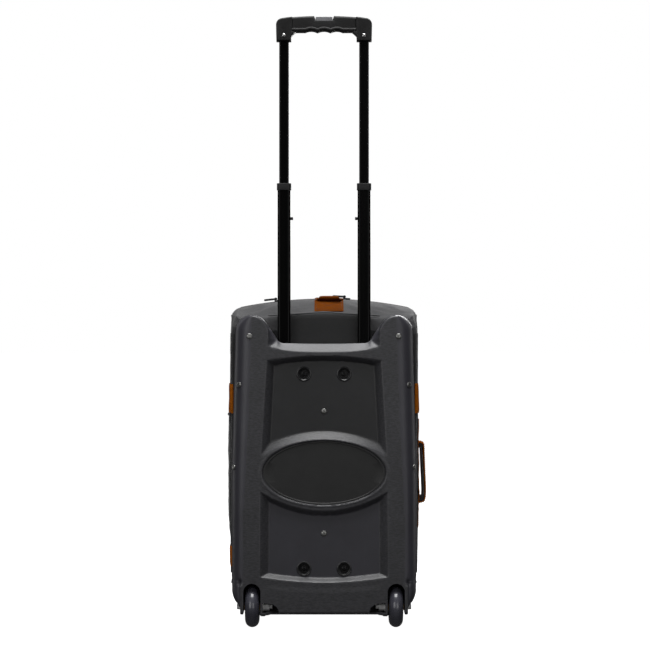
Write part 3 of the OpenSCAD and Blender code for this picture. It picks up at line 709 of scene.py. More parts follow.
def shell_depth(x, z):
    """How far the shell's rear surface lies in front of the rib plane, and its two masks."""
    edge = side_edge(z)
    crease = np.interp(z, [76, 81, 200, 353, 528], [STRIP_X, 136, 136, 128, 122])
    crease = np.minimum(crease, np.maximum(edge - 12, STRIP_X * (z < 78)))
    e = ramp01((x - crease) / np.maximum(edge - crease, 1.0))
    band = BAND_DEPTH * (1 - np.sqrt(np.maximum(1 - (0.995 * e) ** 2.15, 0.0)))
    beside = ramp01((79 - z) / 2.0) * ramp01((x - STRIP_X) / 1.3)
    dimple = np.exp(-((x - 142.5) / 3.2) ** 2 - ((z - 79) / 4.2) ** 2)
    band = band + 2.4 * beside * (1 - 0.7 * e) + 2.6 * dimple
    top = shell_top(x)
    slope_top = np.gradient(top, axis=1) / np.maximum(np.abs(np.gradient(x, axis=1)), 1e-6)
    from_top = (top - z) / np.sqrt(1 + slope_top ** 2)
    rounding = 4.5
    t = ramp01(1 - from_top / rounding)
    ear_round = np.where(x > 92, rounding * (1 - np.sqrt(1 - (0.99 * t) ** 2)), 0.0)
    t = ramp01(1 - (z - shell_bottom(x)) / 4.0)
    low_round = 4.0 * (1 - np.sqrt(1 - (0.99 * t) ** 2))
    depth = np.maximum(np.maximum(band, ear_round), low_round)

    # lip under the notch, and the sloping inner flanks of the ears
    lip_low = 467.6 + 9.5 * ramp01(x / 93.0) ** 3
    corner_x, corner_z = NOTCH_X + NOTCH_R * math.sin(NOTCH_A), 489.0
    lip = (z - lip_low) / np.maximum(np.minimum(top, corner_z) - lip_low, 1.0)
    flank_x = np.interp(z, [489, 516], [corner_x + 0.5, 98.5])
    flank = 1 - (x - flank_x) / np.maximum(94.5 - flank_x, 1.0)
    turn = np.minimum(lip, 1 - (x - corner_x) / 16.0)
    lip_t = np.where(x <= corner_x, lip, np.where(z > corner_z, flank, turn))
    lip_depth = 10.5 * soft_step(lip_t, 0.1)
    depth = depth + np.where((x < 94.5) & (z > 460), lip_depth, 0.0)

    # sunk panels
    outer = np.interp(z, [90, 275, 454], [109, 108, 97])
    wall = np.interp(z, [90, 275, 454], [15, 15, 13])
    t_side = (outer - x) / wall
    t_top = (462.6 - 9.3 * (x / 96.0) ** 2 - z) / 8.6
    crest_in = 321.4 - 28.0 * (x / 103.0) ** 2
    crest_out = 335.0 - 18.0 * (x / 86.0) ** 2
    t_low = (z - crest_in) / (crest_out - crest_in)
    upper = soft_step(np.minimum(np.minimum(t_side, t_top), t_low), 0.12)
    rim_low = 200.2 + 0.00277 * x ** 2
    t_rim = (rim_low - z) / 9.0
    foot_out = 79.0 + 8.6 * (x / 105.0) ** 2
    foot_in = 86.4 + 6.6 * (x / 88.0) ** 2
    t_foot = (z - foot_out) / (foot_in - foot_out)
    lower = soft_step(np.minimum(np.minimum(t_side, t_rim), t_foot), 0.12)
    sunk = np.where(z > OVAL_Z, upper, lower)
    depth = depth + FLOOR_DEPTH * sunk

    # oval badge seat, with a narrow raised bead round it
    rho = np.sqrt((x / OVAL_A) ** 2 + ((z - OVAL_Z) / OVAL_B) ** 2)
    away = (rho - 1.0) * OVAL_B
    depth = depth + BADGE_DEPTH * ramp01(-away / 1.6) * (rho < 1.2)
    bead = np.exp(-((away - 1.6) / 1.3) ** 2) * 0.5
    depth = depth - bead * (rho < 1.4)

    # shallow raised field on the base panel
    field = ramp01((98 - x) / 6.0) * ramp01((70 - z + 0.0006 * x ** 2) / 8.0) * ramp01((z - 27) / 2.0)
    depth = depth - 0.5 * field
    rib = (1 - e > 0.999) * (sunk < 0.97) * 1.0
    lip_mask = ramp01(lip_t) * ((x < 94.5) & (z > 460))
    rib = rib * (1 - lip_mask)
    deep = np.where(z > OVAL_Z, sunk, sunk * 0.55) ** 3
    deep = np.maximum(deep, (rho < 0.98) * 1.0)
    return depth, rib, deep


def build_shell():
    """The moulded back: a fine grid over the outline, a flange, a wall thickness and its openings."""
    xs = np.concatenate([
        np.arange(0, 140.9, 1.6), [STRIP_X - 0.4, STRIP_X - 0.05, STRIP_X + 0.25, 142.2, 143.4, 145, 146.6],
        148 + (SHELL_HALF - 148) * np.sin(np.linspace(0.0, math.pi / 2, 11))
    ])
    xs[-1] = SHELL_HALF - 0.02
    xs = np.concatenate([-xs[::-1][:-1], xs])
    rows = 330
    x = np.tile(xs, (rows, 1))
    low = shell_bottom(np.abs(x))
    top = np.maximum(shell_top(np.abs(x)), low + 20)
    v = np.linspace(0, 1, rows)[:, None]
    z = low + (top - low) * v
    depth, rib, deep = shell_depth(np.abs(x), z)
    y = BACK + depth
    cols = len(xs)
    verts = [(MID + a, b, c) for a, b, c in zip(x.ravel(), y.ravel(), z.ravel())]
    faces = [f[::-1] for f in grid_faces(rows, cols)]
    # the flange runs forward from the outline
    edge = ring = grid_border(rows, cols)
    front = BODY_BACK - 0.5
    for step in (0.18, 0.4, 0.7, 1.0):
        new = []
        for k in edge:
            px, py, pz = verts[k]
            new.append(len(verts))
            verts.append((px, py + (front - py) * step, pz))
        for a in range(len(ring)):
            b = (a + 1) % len(ring)
            faces.append((ring[a], new[a], new[b], ring[b]))
        ring = new
    obj = to_object("back_shell", verts, faces, MAT["shell"], BAG, True, 38.0)
    for name, mask in (("rib", rib), ("deep", deep)):
        data = np.zeros(len(verts), dtype=np.float32)
        data[:mask.size] = mask.ravel()
        obj.data.attributes.new(name, "FLOAT", "POINT").data.foreach_set("value", data)
    mod = obj.modifiers.new("wall", "SOLIDIFY")
    mod.thickness = SHELL_WALL * MM
    mod.offset = -1.0
    apply_modifiers(obj)
    tools = []
    for s in (-1, 1):
        # wheel slot with a rounded top, nut pocket, and the openings for the tubes
        angles = np.linspace(0, math.pi, 25)
        arc = [(SLOT_X + SLOT_R * math.cos(a), SLOT_Z + SLOT_R * math.sin(a)) for a in angles]
        slot = [(SLOT_X + SLOT_R, 10.0)] + arc + [(SLOT_X - SLOT_R, 10.0)]
        tools.append(prism([(MID + s * a, b) for a, b in slot], -140, -60))
        pocket = [(76, 30), (79, 37), (86, 42), (95, 44), (104, 44.4), (104, 27.5), (78, 27.5)]
        tools.append(prism([(MID + s * a, b) for a, b in pocket], -140, -106.5))
        hole = [(54, 470), (82.4, 470), (82.4, 497), (54, 497)]
        tools.append(prism([(MID + s * a, b) for a, b in hole], TUBE_Y - 12.5, TUBE_Y + 12.5))
        tools.append(box_part((MID + s * 146 - 3.4, -104, 15), (MID + s * 146 + 3.4, -60, 44)))
        for z in BOLT_HEIGHTS:
            tools.append(lathe([(9.7, 0), (9.7, 30)], (MID + s * BOLT_X, BACK, z), (0, 1, 0), 40))
    cut(obj, tools)
    finish_mesh(obj, True, 38.0)
    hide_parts("rear_shell")
    return obj


def prism(points, y0, y1):
    """A closed outline seen from behind, run from y0 to y1."""
    n = len(points)
    verts = [(a, y0, b) for a, b in points] + [(a, y1, b) for a, b in points]
    faces = [tuple(range(n)), tuple(range(2 * n - 1, n - 1, -1))]
    faces += [(k, k + n, (k + 1) % n + n, (k + 1) % n) for k in range(n)]
    return verts, faces


build_shell()


def build_badge():
    """The oval plate in its seat, left plain: a dished pebbled field with a raised border."""
    verts, cols = [], 120
    back = BACK + BADGE_DEPTH
    rings = [(1.02, 0.6), (1.018, -0.9), (1.0, -1.5), (0.97, -1.5), (0.955, -0.7), (0.8, -0.75),
             (0.6, -0.85), (0.4, -0.95), (0.2, -1.0), (0.02, -1.0)]
    for scale, off in rings:
        for k in range(cols):
            a = 2 * math.pi * k / cols
            verts.append((MID + 103.0 * scale * math.cos(a), back + off, OVAL_Z + 53.2 * scale * math.sin(a)))
    obj = to_object("badge_plate", verts, capped(verts, cols), MAT["badge"], BAG, True, 30.0)
    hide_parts("oval_badge")


build_badge()


# ---------------------------------------------------------------- bolts, rivets and wheels

def build_fixings():
    """Cup washers with their bolts, and the rivets round the shell."""
    cups, bolts, rivets = [], [], []
    floor = BACK + FLOOR_DEPTH
    for s in (-1, 1):
        for z in BOLT_HEIGHTS:
            centre = (MID + s * BOLT_X, floor, z)
            cups.append(lathe([
                (9.4, 8), (9.4, 0.4), (12.6, 0.2), (12.9, -0.4), (12.4, -1.2), (11.4, -1.5), (10.2, -1.1),
                (9.4, -0.2), (8.4, 0.1), (7.9, 0.9), (7.7, 5.4), (7.2, 6), (2.7, 6), (2.7, 8)
            ], centre, (0, 1, 0), 48))
            bolts.append(lathe([
                (2.5, -73 - floor), (2.5, 6), (4.2, 6), (4.3, 4.2), (4.0, 3.0), (3.2, 2.5), (2.3, 2.5),
                (2.1, 2.8), (2.0, 4.6), (0.0, 4.6)
            ], centre, (0, 1, 0), 32))
    cup = joined("bolt_cup_set", cups, MAT["cup"], BAG)
    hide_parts("bolt_cups")
    bolt = joined("frame_bolt_set", bolts, MAT["blackened"], BAG)
    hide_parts("frame_bolts")
    spots = []
    for x, z in ((-126, 495), (126, 495), (0, 368), (0, 161)):
        y = BACK + (FLOOR_DEPTH if x == 0 else 0.0)
        spots.append((Vector((MID + x, y, z)), Vector((0, -1, 0))))
    for x, z in ((144, 413), (153, 273)):
        for s in (-1, 1):
            depth = shell_depth(np.array([[x - 1.0, x, x + 1.0]]), np.array([[z, z, z]], float))[0][0]
            tilt = math.atan2(depth[2] - depth[0], 2.0)
            outward = Vector((s * math.sin(tilt), -math.cos(tilt), 0))
            spots.append((Vector((MID + s * x, BACK + depth[1], z)), outward))
    for spot, out in spots:
        rivets.append(lathe([
            (2.2, -4.0), (2.2, -1.0), (4.6, -0.3), (4.9, 0.15), (4.7, 0.7), (3.8, 1.3), (2.6, 1.6),
            (1.3, 1.62), (1.1, 0.9), (0.0, 0.8)
        ], spot, out, 28))
    rivet = joined("shell_rivet_set", rivets, MAT["rivet"], BAG)
    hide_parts("shell_rivets")


build_fixings()


def build_axle_bolt(side, s):
    """A shaft and a round head with a hex socket, standing out past the shell's corner."""
    shaft = lathe([(0.0, -54.0), (4.0, -54.0), (4.0, 0.0), (5.0, 0.0), (5.1, 0.6), (5.1, 5.0), (4.6, 6.1),
                   (3.4, 6.5), (2.4, 6.4), (2.3, 3.4), (0.0, 3.4)],
                  (MID + s * 142, AXLE_Y, AXLE_Z), (s, 0, 0), 32)
    # the bolt's near-white colour is a painted reflection
    obj = joined("axle_bolt_" + side, [shaft], MAT["painted_reflection_steel"], BAG)
    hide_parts("axle_" + side)


def build_running_gear():
    """The wheels, the handle's tubes and the small hardware, which keep their CAD shapes."""
    build_axle_bolt("left", -1)
    build_axle_bolt("right", 1)
    for side in ("left", "right"):
        paint(MAT["urethane"], "tyre_" + side)
        paint(MAT["core"], "hub_" + side)
        paint(MAT["steel"], "bearings_" + side)
        paint(MAT["tube_plain"], "outer_tube_" + side)
        paint(MAT["tube"], "middle_tube_" + side, "inner_tube_" + side)
        well = bevelled_copy("wheel_well_" + side, "wheel_housing_" + side, MAT["black"], BAG, 1.2, 3)
        cut(well, [box_part((-300, -130, 10), (300, BACK + 2.8, 90))])
        finish_mesh(well, True, 40.0)
    paint(MAT["brass"], "axle_spacers")
    paint(MAT["zinc"], "upper_bracket", "lower_bracket", "lower_lock_clips")
    paint(MAT["black"], "outer_collars", "middle_foot_bushes", "inner_foot_bushes")
    paint(MAT["steel"], "button_spring", "push_rods", "foot_screws")
    # the nuts share that painted reflection
    bevelled_copy("axle_nut_set", "axle_nuts", MAT["painted_reflection_steel"], BAG, 0.4, 2)
    guide = bevelled_copy("tube_guide", "tube_bezel", MAT["black"], BAG, 0.4, 2)
    cut(guide, [box_part((-300, -130, 400), (300, BACK + 15.5, 500))])
    bevelled_copy("middle_collar_set", "middle_collars", MAT["black"], "middle_stage", 0.8, 3)
    bevelled_copy("upper_lock_pins", "upper_lock_clips", MAT["blackened"], "inner_stage", 0.35, 2)
    bevelled_copy("base_moulding", "base_plate", MAT["black"], BAG, 1.2, 3)
    bevelled_copy("front_foot_pair", "front_feet", MAT["rubber"], BAG, 2.0, 3)


build_running_gear()


# ---------------------------------------------------------------- fabric body

BASE_Z = corner("bottom_panel", 0, 2)
LOW_R = 36.0                                     # radius of the outline's lower corners
DOME_R = 747.0                                   # of its crown
TOP_R = 14.0                                     # and of its upper corners
DOME_Z = BODY_TOP - DOME_R
TOP_X = BODY_HALF - TOP_R
TOP_Z = DOME_Z + math.sqrt((DOME_R - TOP_R) ** 2 - TOP_X ** 2)
WALL = 4.0                                       # cloth, foam and lining together
ZIP_Y = 80.15                                    # where the two halves of the main zip meet
REAR_SEAM_Z = 536.0                              # seam between the grey top and the dark back
RING_Z = 285.0                                   # height of the bag's middle
# how far the crown has dropped at each depth, and how its rear edge rolls over: (drop, depth)
SHOULDER_Y = [-64, -55, -45, -35, -25, -15, -5, 5, 12, 80]
SHOULDER_DROP = [23, 18.8, 13.9, 9.5, 5.7, 2.9, 1.1, 0.2, 0, 0]
ROLL = [(34, 0), (29.4, 0.3), (26.4, 1.4), (24.4, 3.2), (23.4, 5.4), (22.8, 7.6)]
FOLDS = [
    # from (x, z) to (x, z) across the rear of the top, half-width, height
    (-74, 549, -126, 528, 4.5, 1.7), (-96, 552, -142, 537, 4.0, 1.5), (-66, 536, -98, 531, 2.6, -2.4),
    (66, 535, 100, 530, 2.6, -2.6), (78, 538, 118, 529, 3.4, 1.6), (70, 548, 132, 534, 5.0, 1.3),
    (104, 550, 145, 533, 4.0, 1.1), (80, 528, 110, 519, 3.0, -1.6), (-80, 528, -112, 516, 3.0, 1.6),
    (36, 552, 60, 540, 4.0, 1.0), (-148, 532, -140, 512, 3.0, -1.6), (148, 530, 141, 514, 3.0, -1.4),
]


def arc_points(cx, cz, r, a0, a1, step):
    """Points (x, z) of an arc without its last one, each with its outward normal."""
    count = max(2, int(r * abs(a1 - a0) / step))
    angles = [a0 + (a1 - a0) * k / count for k in range(count)]
    return [(cx + r * math.cos(a), cz + r * math.sin(a), math.cos(a), math.sin(a)) for a in angles]


def outline(step=4.0, grow=0.0):
    """Points round the fabric body seen from behind, each with its outward normal, from the bottom
    centre up the right side and round. grow moves them outwards."""
    low_x, low_z = BODY_HALF - LOW_R, BASE_Z + LOW_R
    tilt = math.atan2(TOP_Z - DOME_Z, TOP_X)
    count = int(low_x / step)
    half = [(low_x * k / count, BASE_Z - grow, 0.0, -1.0) for k in range(count)]
    half += arc_points(low_x, low_z, LOW_R + grow, -math.pi / 2, 0, step)
    count = int((TOP_Z - low_z) / step)
    half += [(BODY_HALF + grow, low_z + (TOP_Z - low_z) * k / count, 1.0, 0.0) for k in range(count)]
    half += arc_points(TOP_X, TOP_Z, TOP_R + grow, 0, tilt, step / 2)
    half += arc_points(0, DOME_Z, DOME_R + grow, tilt, math.pi / 2, step)
    mirrored = [(-x, z, -nx, nz) for x, z, nx, nz in reversed(half[1:])]
    return half + [(0, BODY_TOP + grow, 0.0, 1.0)] + mirrored


def side_bulge(y, z):
    """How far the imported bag's sides stand out from the straight wall."""
    depth = np.sin(math.pi * ramp01((y - BODY_BACK) / (BODY_FRONT - BODY_BACK))) ** 0.7
    height = np.interp(z, [40, 70, 110, 200, 300, 380, 430, 476, 506, 530, 548],
                       [0, 1.5, 2.6, 4.4, 4.8, 4.4, 3.6, 3.6, 5.0, 3.2, 0])
    return depth * height


def crumple(points, scale, amount, seed=0.0):
    """Smooth wrinkles: one noise value for each point."""
    shift = Vector((seed, 1.7 * seed, 0.3 * seed))
    return np.array([amount * noise.fractal(Vector(p) / scale + shift, 0.9, 2.1, 3) for p in points])


def fold_height(x, z):
    """Height of the sewn-in folds at the rear corners of the top."""
    out = np.zeros_like(x)
    for x1, z1, x2, z2, width, height in FOLDS:
        ax, az = x2 - x1, z2 - z1
        t = ((x - x1) * ax + (z - z1) * az) / (ax * ax + az * az)
        off = 1.2 * np.hypot(x - x1 - np.clip(t, 0, 1) * ax, z - z1 - np.clip(t, 0, 1) * az)
        fade = np.sin(math.pi * ramp01(t)) ** 0.6
        out += 1.8 * height * np.exp(-(off / width) ** 2) * fade
    return out


def untangled(x, z):
    """The order that takes a ring's points round the bag's middle, and the points so ordered. Where
    the ring is drawn in at a corner its sides would otherwise cross."""
    angle = np.unwrap(np.arctan2(x, RING_Z - z))
    order = np.argsort(angle, kind="stable")
    if np.array_equal(order, np.arange(len(order))):
        return order, x, z
    angle, reach = angle[order], np.hypot(x, z - RING_Z)[order]
    for _ in range(4):
        reach = (np.roll(reach, 1) + 2 * reach + np.roll(reach, -1)) / 4
    return order, reach * np.sin(angle), RING_Z - reach * np.cos(angle)


def body_loft(inset, front):
    """The closed volume of the fabric body, drawn in by inset, as (verts, faces)."""
    loop = np.array(outline())
    x0, z0, nx, nz = loop.T
    steps = np.hypot(np.diff(x0), np.diff(z0))
    along = np.concatenate([[0], np.cumsum(steps)])
    total = along[-1] + steps[0]
    corner_at = along[np.argmax((np.abs(z0 - TOP_Z) < 2.1) & (x0 > 0))]
    from_bottom = np.minimum(along, total - along)
    crown = eased(ramp01((from_bottom - corner_at + 35) / 95.0))
    dx, dz = -nx * (1 - crown), -nz * (1 - crown) - crown
    size = np.hypot(dx, dz)
    dx, dz = dx / size, dz / size
    stations = []
    for k in range(6):
        a = math.pi / 2 * k / 5
        stations.append((8 * (1 - math.sin(a)), BODY_BACK + 8 * (1 - math.cos(a)),
                         ROLL[k][0], BODY_BACK + ROLL[k][1]))
    for t in np.linspace(0, 1, 34)[1:]:
        y_side = BODY_BACK + 8 + (front - BODY_BACK - 8) * t
        y_top = BODY_BACK + 7.6 + (front - BODY_BACK - 7.6) * t
        stations.append((0.0, y_side, float(np.interp(y_top, SHOULDER_Y, SHOULDER_DROP)), y_top))
    rings = []
    for d_side, y_side, d_top, y_top in stations:
        d = d_side * (1 - crown) + d_top * crown + inset
        y = np.maximum(y_side * (1 - crown) + y_top * crown, BODY_BACK + inset)
        order, x, z = untangled(x0 + dx * d, z0 + dz * d)
        y, out_x, out_z = y[order], nx[order], nz[order]
        puff = side_bulge(y, z) * np.abs(out_x) ** 2
        if not inset:
            pts = np.column_stack([x, y, z])
            free = ramp01((y - BODY_BACK) / 18.0) * ramp01((BODY_FRONT - 3 - y) / 14.0)
            puff = puff + crumple(pts, 46.0, 1.1, 3.0) * free + crumple(pts, 17.0, 0.35, 8.0) * free
            puff = puff + fold_height(x, z) * ramp01((30 - y) / 30.0) * (z > 505)
        rings.append((x + out_x * puff, y, z + out_z * puff))
    x, y, z = rings[0]
    caps = [(x * f, y, RING_Z + (z - RING_Z) * f) for f in np.linspace(1, 0.04, 16)[:0:-1]]
    verts = [(MID + a, b, c) for ring in caps + rings for a, b, c in zip(*ring)]
    return verts, capped(verts, len(loop))


def heel_boxes(grow):
    """The two spaces at the heel where the wheel housings stand."""
    inner, outer, y, z = 101 - grow, 200, -43 + grow, 84 + grow
    spans = ((-outer, -inner), (inner, outer))
    return [box_part((MID + x0, -100, 0), (MID + x1, y, z)) for x0, x1 in spans]


def seam_height(y):
    """Height of the seam between the grey top and the side panel."""
    return 509 + 22 * eased(ramp01((y - BODY_BACK) / 60.0))


def body_zone(centre, normal):
    """Material of one face: 0 side, 1 top, 2 back, 3 lining."""
    x, y, z = centre.x / MM - MID, centre.y / MM, centre.z / MM
    if normal.x * x + normal.y * (y - 2) + normal.z * (z - 290) < 0:
        return 3
    # zone 2 carries the back cloth, whose extra darkness is painted shade
    if y < -63.4 and abs(x) < 76 and z < REAR_SEAM_Z + 0.2:
        return 2
    if y < -68.5 and z < 500:
        return 2
    return 1 if z > seam_height(y) else 0


def build_body():
    """The sewn body: a lofted volume, hollowed, with one material for each kind of cloth."""
    outer = to_object("fabric_body", *body_loft(0.0, BODY_FRONT), MAT["dark"], BAG, False)
    inner = to_object("body_space", *body_loft(WALL, BODY_FRONT + 12), MAT["dark"], None, False)
    cut(outer, heel_boxes(0.0))
    cut(inner, heel_boxes(WALL))
    mod = outer.modifiers.new("hollow", "BOOLEAN")
    mod.operation = "DIFFERENCE"
    mod.solver = "MANIFOLD"
    mod.object = inner
    apply_modifiers(outer)
    bpy.data.objects.remove(inner)
    outer.data.materials.clear()
    for key in ("dark", "grey", "back", "lining"):
        outer.data.materials.append(MAT[key])
    finish_mesh(outer, True, 42.0)
    zones = [body_zone(p.center, p.normal) for p in outer.data.polygons]
    outer.data.polygons.foreach_set("material_index", zones)
    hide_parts("back_panel", "top_panel", "bottom_panel", "side_panel_left", "side_panel_right")
    return outer


def surface_of(obj):
    """A function that drops a point along a direction onto obj: (place, normal), in millimetres."""
    tree = BVHTree.FromPolygons([v.co / MM for v in obj.data.vertices],
                                [tuple(p.vertices) for p in obj.data.polygons])

    def hit(point, direction):
        way = Vector(direction).normalized()
        place, normal, _, _ = tree.ray_cast(Vector(point) - way * 60, way)
        return place, -normal if normal.dot(way) > 0 else normal

    return hit


body = build_body()
body_hit = surface_of(body)


def on_side(s, y, z):
    """A place on the fabric's left (s = -1) or right side."""
    return body_hit((MID + s * 170, y, z), (-s, 0, 0))


def on_top(x, y):
    """A place on the crown."""
    return body_hit((MID + x, y, 580), (0, 0, -1))


def lay(places, lift):
    """Points raised off a surface, and their normals."""
    return [p + n * lift for p, n in places], [n for _, n in places]


def seam_line(name, places, mat, radius, body_name=BAG):
    """Piping: a round corded edge lying in a seam."""
    points, _ = lay(places, radius * 0.35)
    return joined(name, [tube(points, radius, 8)], mat, body_name, 60.0)


def sew(name, places, mat, body_name=BAG, lift=0.1, **sizes):
    """A stitch row along places on a surface."""
    points, normals = lay(places, lift)
    return joined(name, [stitches(points, normals, **sizes)], mat, body_name, 60.0)


def build_seams():
    """Pipings and stitch rows on the body."""
    fall = 0.064                                 # the rear seam falls towards the sides
    rear = [body_hit((MID + x, -80, REAR_SEAM_Z - fall * abs(x)), (0, 1, 0))
            for x in np.linspace(-96, 96, 60)]
    # the edge material's light grey is a painted highlight along the rolled rear edge
    seam_line("rear_top_piping", rear, MAT["edge"], 1.3)
    below = [(p + Vector((0, -0.6, -3.2)), n) for p, n in rear]
    below = [body_hit((p.x, -90, p.z), (0, 1, 0)) for p, _ in below]
    sew("rear_top_stitching", below, MAT["dark_thread"], length=2.2, gap=1.2, radius=0.28)
    for s, name in ((-1, "left"), (1, "right")):
        line = [on_side(s, y, float(seam_height(y))) for y in np.linspace(-62, 74, 60)]
        seam_line("side_piping_" + name, line, MAT["trim"], 1.3)
        above = [on_side(s, y, float(seam_height(y)) + 4) for y in np.linspace(-60, 73, 50)]
        sew("side_stitching_" + name, above, MAT["dark_thread"], length=2.4, gap=1.3, radius=0.28)
        edge = [on_side(s, -62, z) for z in np.linspace(90, 500, 90)]
        seam_line("back_piping_" + name, edge, MAT["trim"], 1.3)
        lower = [on_side(s, y, 70.0) for y in np.linspace(-40, 74, 40)]
        seam_line("low_piping_" + name, lower, MAT["trim"], 1.2)


build_seams()


# ---------------------------------------------------------------- webbing

def box_stitch(centre_path, normals, half_width, inset=3.2, lift=0.85):
    """A sewn box with a cross in it, between the ends of a strap's centre line."""
    first, last = Vector(centre_path[0]), Vector(centre_path[-1])
    along = (last - first).normalized()
    parts = []
    side = along.cross(Vector(normals[0])).normalized()

    def at(t, u):
        k = min(len(centre_path) - 2, int(t * (len(centre_path) - 1)))
        f = t * (len(centre_path) - 1) - k
        p = Vector(centre_path[k]).lerp(Vector(centre_path[k + 1]), f)
        n = Vector(normals[k]).lerp(Vector(normals[k + 1]), f).normalized()
        return p + side * u + n * lift, n

    length = (last - first).length
    a, b, w = inset / length, 1 - inset / length, half_width - inset
    corners = [(a, -w), (b, -w), (b, w), (a, w), (a, -w), (b, w), (b, -w), (a, w)]
    for (t1, u1), (t2, u2) in zip(corners, corners[1:]):
        line = [at(t1 + (t2 - t1) * k / 8, u1 + (u2 - u1) * k / 8) for k in range(9)]
        parts.append(stitches([p for p, _ in line], [n for _, n in line], 2.4, 1.3, 0.32, 0.05))
    return parts


def side_band(name, s, z_low, z_high):
    """A band of webbing sewn round from the rear corner on to one side. Returns its stitching."""
    height = (z_low + z_high) / 2
    places = [on_side(s, y, height) for y in np.linspace(-69.5, 22, 34)]
    points, normals = lay(places, 1.3)
    band = strap(name, points, normals, z_high - z_low, 2.2, BAG, MAT["orange"])
    return box_stitch(points[10:], normals[10:], (z_high - z_low) / 2)


def build_side_webbing():
    """The upright strap that carries the side handle, and the bands round the rear corners."""
    p, n = lay([on_side(1, 0.0, z) for z in np.linspace(162, 350, 37)], 1.5)
    long_strap = strap("right_side_strap", p, n, 38, 2.4, BAG, MAT["orange"])
    sewn = box_stitch(p[-9:], n[-9:], 19) + box_stitch(p[:6], n[:6], 19)
    for name, s, low_z, high_z in (("left_upper_band", -1, 363, 413), ("left_lower_band", -1, 101, 136),
                                   ("right_upper_band", 1, 363, 414)):
        sewn += side_band(name, s, low_z, high_z)
    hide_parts("side_straps")
    joined("strap_stitching", sewn, MAT["thread"], BAG, 60.0)


build_side_webbing()


def smooth_path(points, count):
    """A Catmull-Rom curve through given points."""
    pts = [Vector(p) for p in points]
    pts = [pts[0] * 2 - pts[1]] + pts + [pts[-1] * 2 - pts[-2]]
    out = []
    spans = len(pts) - 3
    for k in range(count):
        t = k * spans / (count - 1)
        i = min(int(t), spans - 1)
        f = t - i
        a, b, c, d = pts[i:i + 4]
        out.append(0.5 * (2 * b + (c - a) * f + (2 * a - 5 * b + 4 * c - d) * f ** 2
                          + (3 * b - a - 3 * c + d) * f ** 3))
    return out


def side_normals(path, hint):
    """Normals of a path that bends in one plane, on the side of hint's turn."""
    rows = frames_along(path, hint)
    return [tangent.cross(Vector(hint)).normalized() for _, tangent, _, _ in rows]


def build_side_handle():
    """The carry handle on the right side: webbing over a pad, with wedges at its sewn ends."""
    x = MID + 161.6
    centre = [(x, 0, 312), (x + 1.2, 0, 310.8), (x + 6, 0, 309.8), (x + 10.6, 0, 307.6), (x + 11.6, 0, 300),
              (x + 12.2, 0, 284), (x + 13.2, 0, 262), (x + 14.2, 0, 240), (x + 14.6, 0, 226),
              (x + 13.8, 0, 213), (x + 11.2, 0, 207.4), (x + 6, 0, 205.6), (x + 1.2, 0, 204.6), (x, 0, 203)]
    path = smooth_path(centre, 90)
    normals = side_normals(path, (0, -1, 0))
    if normals[45].x < 0:
        normals = [-n for n in normals]
    widths = [26 + 4 * math.exp(-((k - 4) / 5) ** 2) + 4 * math.exp(-((k - 85) / 5) ** 2) for k in range(90)]
    outer = strap("side_handle_webbing", path, normals, 28, 3.2, BAG, MAT["orange"], taper=widths)
    inside = [p - n * 4.1 for p, n in zip(path, normals)][7:-7]
    pad = strap("side_handle_pad", inside, normals[7:-7], 24, 4.6, BAG, MAT["trim"],
                taper=[w - 1 for w in widths[7:-7]])
    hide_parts("side_handle")
    gussets = [[(0.6, 309.4), (11.5, 308.2), (12.2, 292), (9.6, 299.5), (0.6, 300.5)],
               [(0.6, 205.8), (12.6, 206.4), (14.2, 224), (10.6, 217.5), (0.6, 217)]]
    wedges = [rounded_prism([(x + a, b) for a, b in wedge], -11.5, 11.5, 1.0, 3) for wedge in gussets]
    ends = joined("side_handle_gussets", wedges, MAT["trim"], BAG, 50.0)
    rows = []
    for u in (-1, 1):
        line = [p + n * 1.7 + Vector((0, u * (w / 2 - 2.6), 0)) for p, n, w in zip(path, normals, widths)]
        rows.append(stitches(line[8:-8], normals[8:-8], 2.4, 1.4, 0.32, 0.0))
    joined("side_handle_stitching", rows, MAT["thread"], BAG, 60.0)


build_side_handle()


def build_top_handle():
    """The handle on top: a rear and a front patch, and the loop between them."""
    centre_x = 8.5
    heights = np.linspace(REAR_SEAM_Z + 0.6, REAR_SEAM_Z + 5, 3)
    places = [body_hit((MID + centre_x, -76, z), (0, 1, 0)) for z in heights]
    places += [on_top(centre_x, y) for y in np.linspace(-54, -8, 14)]
    points, normals = lay(places, 1.2)
    # the top handle uses the darker copy of the orange webbing, painted shade for its upward-facing strap
    patch = strap("top_handle_rear_patch", points, normals, 50, 1.9, BAG, MAT["orange_painted_shade"])
    places = [on_top(centre_x, y) for y in np.linspace(30, 66, 10)]
    front_points, front_normals = lay(places, 1.2)
    front = strap("top_handle_front_patch", front_points, front_normals, 50, 1.9, BAG, MAT["orange_painted_shade"])
    top = corner("top_handle", 1, 2) - 1.4
    route = [(-6, 560.2), (-16, 558.8), (-24, 558.6), (-29, 560.2), (-29.5, 562.8), (-24, top - 0.6),
             (-12, top), (6, top + 0.4), (24, top), (34, top - 0.8), (39, 562.6), (38.5, 560.8),
             (34, 560.6), (24, 560.8)]
    path = smooth_path([(MID + centre_x, y, z) for y, z in route], 80)
    normals_loop = side_normals(path, (1, 0, 0))
    if normals_loop[40].z < 0:
        normals_loop = [-n for n in normals_loop]
    widths = [32 + 18 * math.exp(-(min(k, 79 - k) / 15) ** 2) for k in range(80)]
    loop = strap("top_handle_loop", path, normals_loop, 34, 2.0, BAG, MAT["orange_painted_shade"], taper=widths)
    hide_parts("top_handle")
    sewn = box_stitch(points[:13], normals[:13], 25, 3.0, 1.05)
    sewn += box_stitch(front_points, front_normals, 25, 3.0, 1.05)
    joined("top_handle_stitching", sewn, MAT["thread"], BAG, 60.0)


build_top_handle()


# ---------------------------------------------------------------- lid, pockets and zips

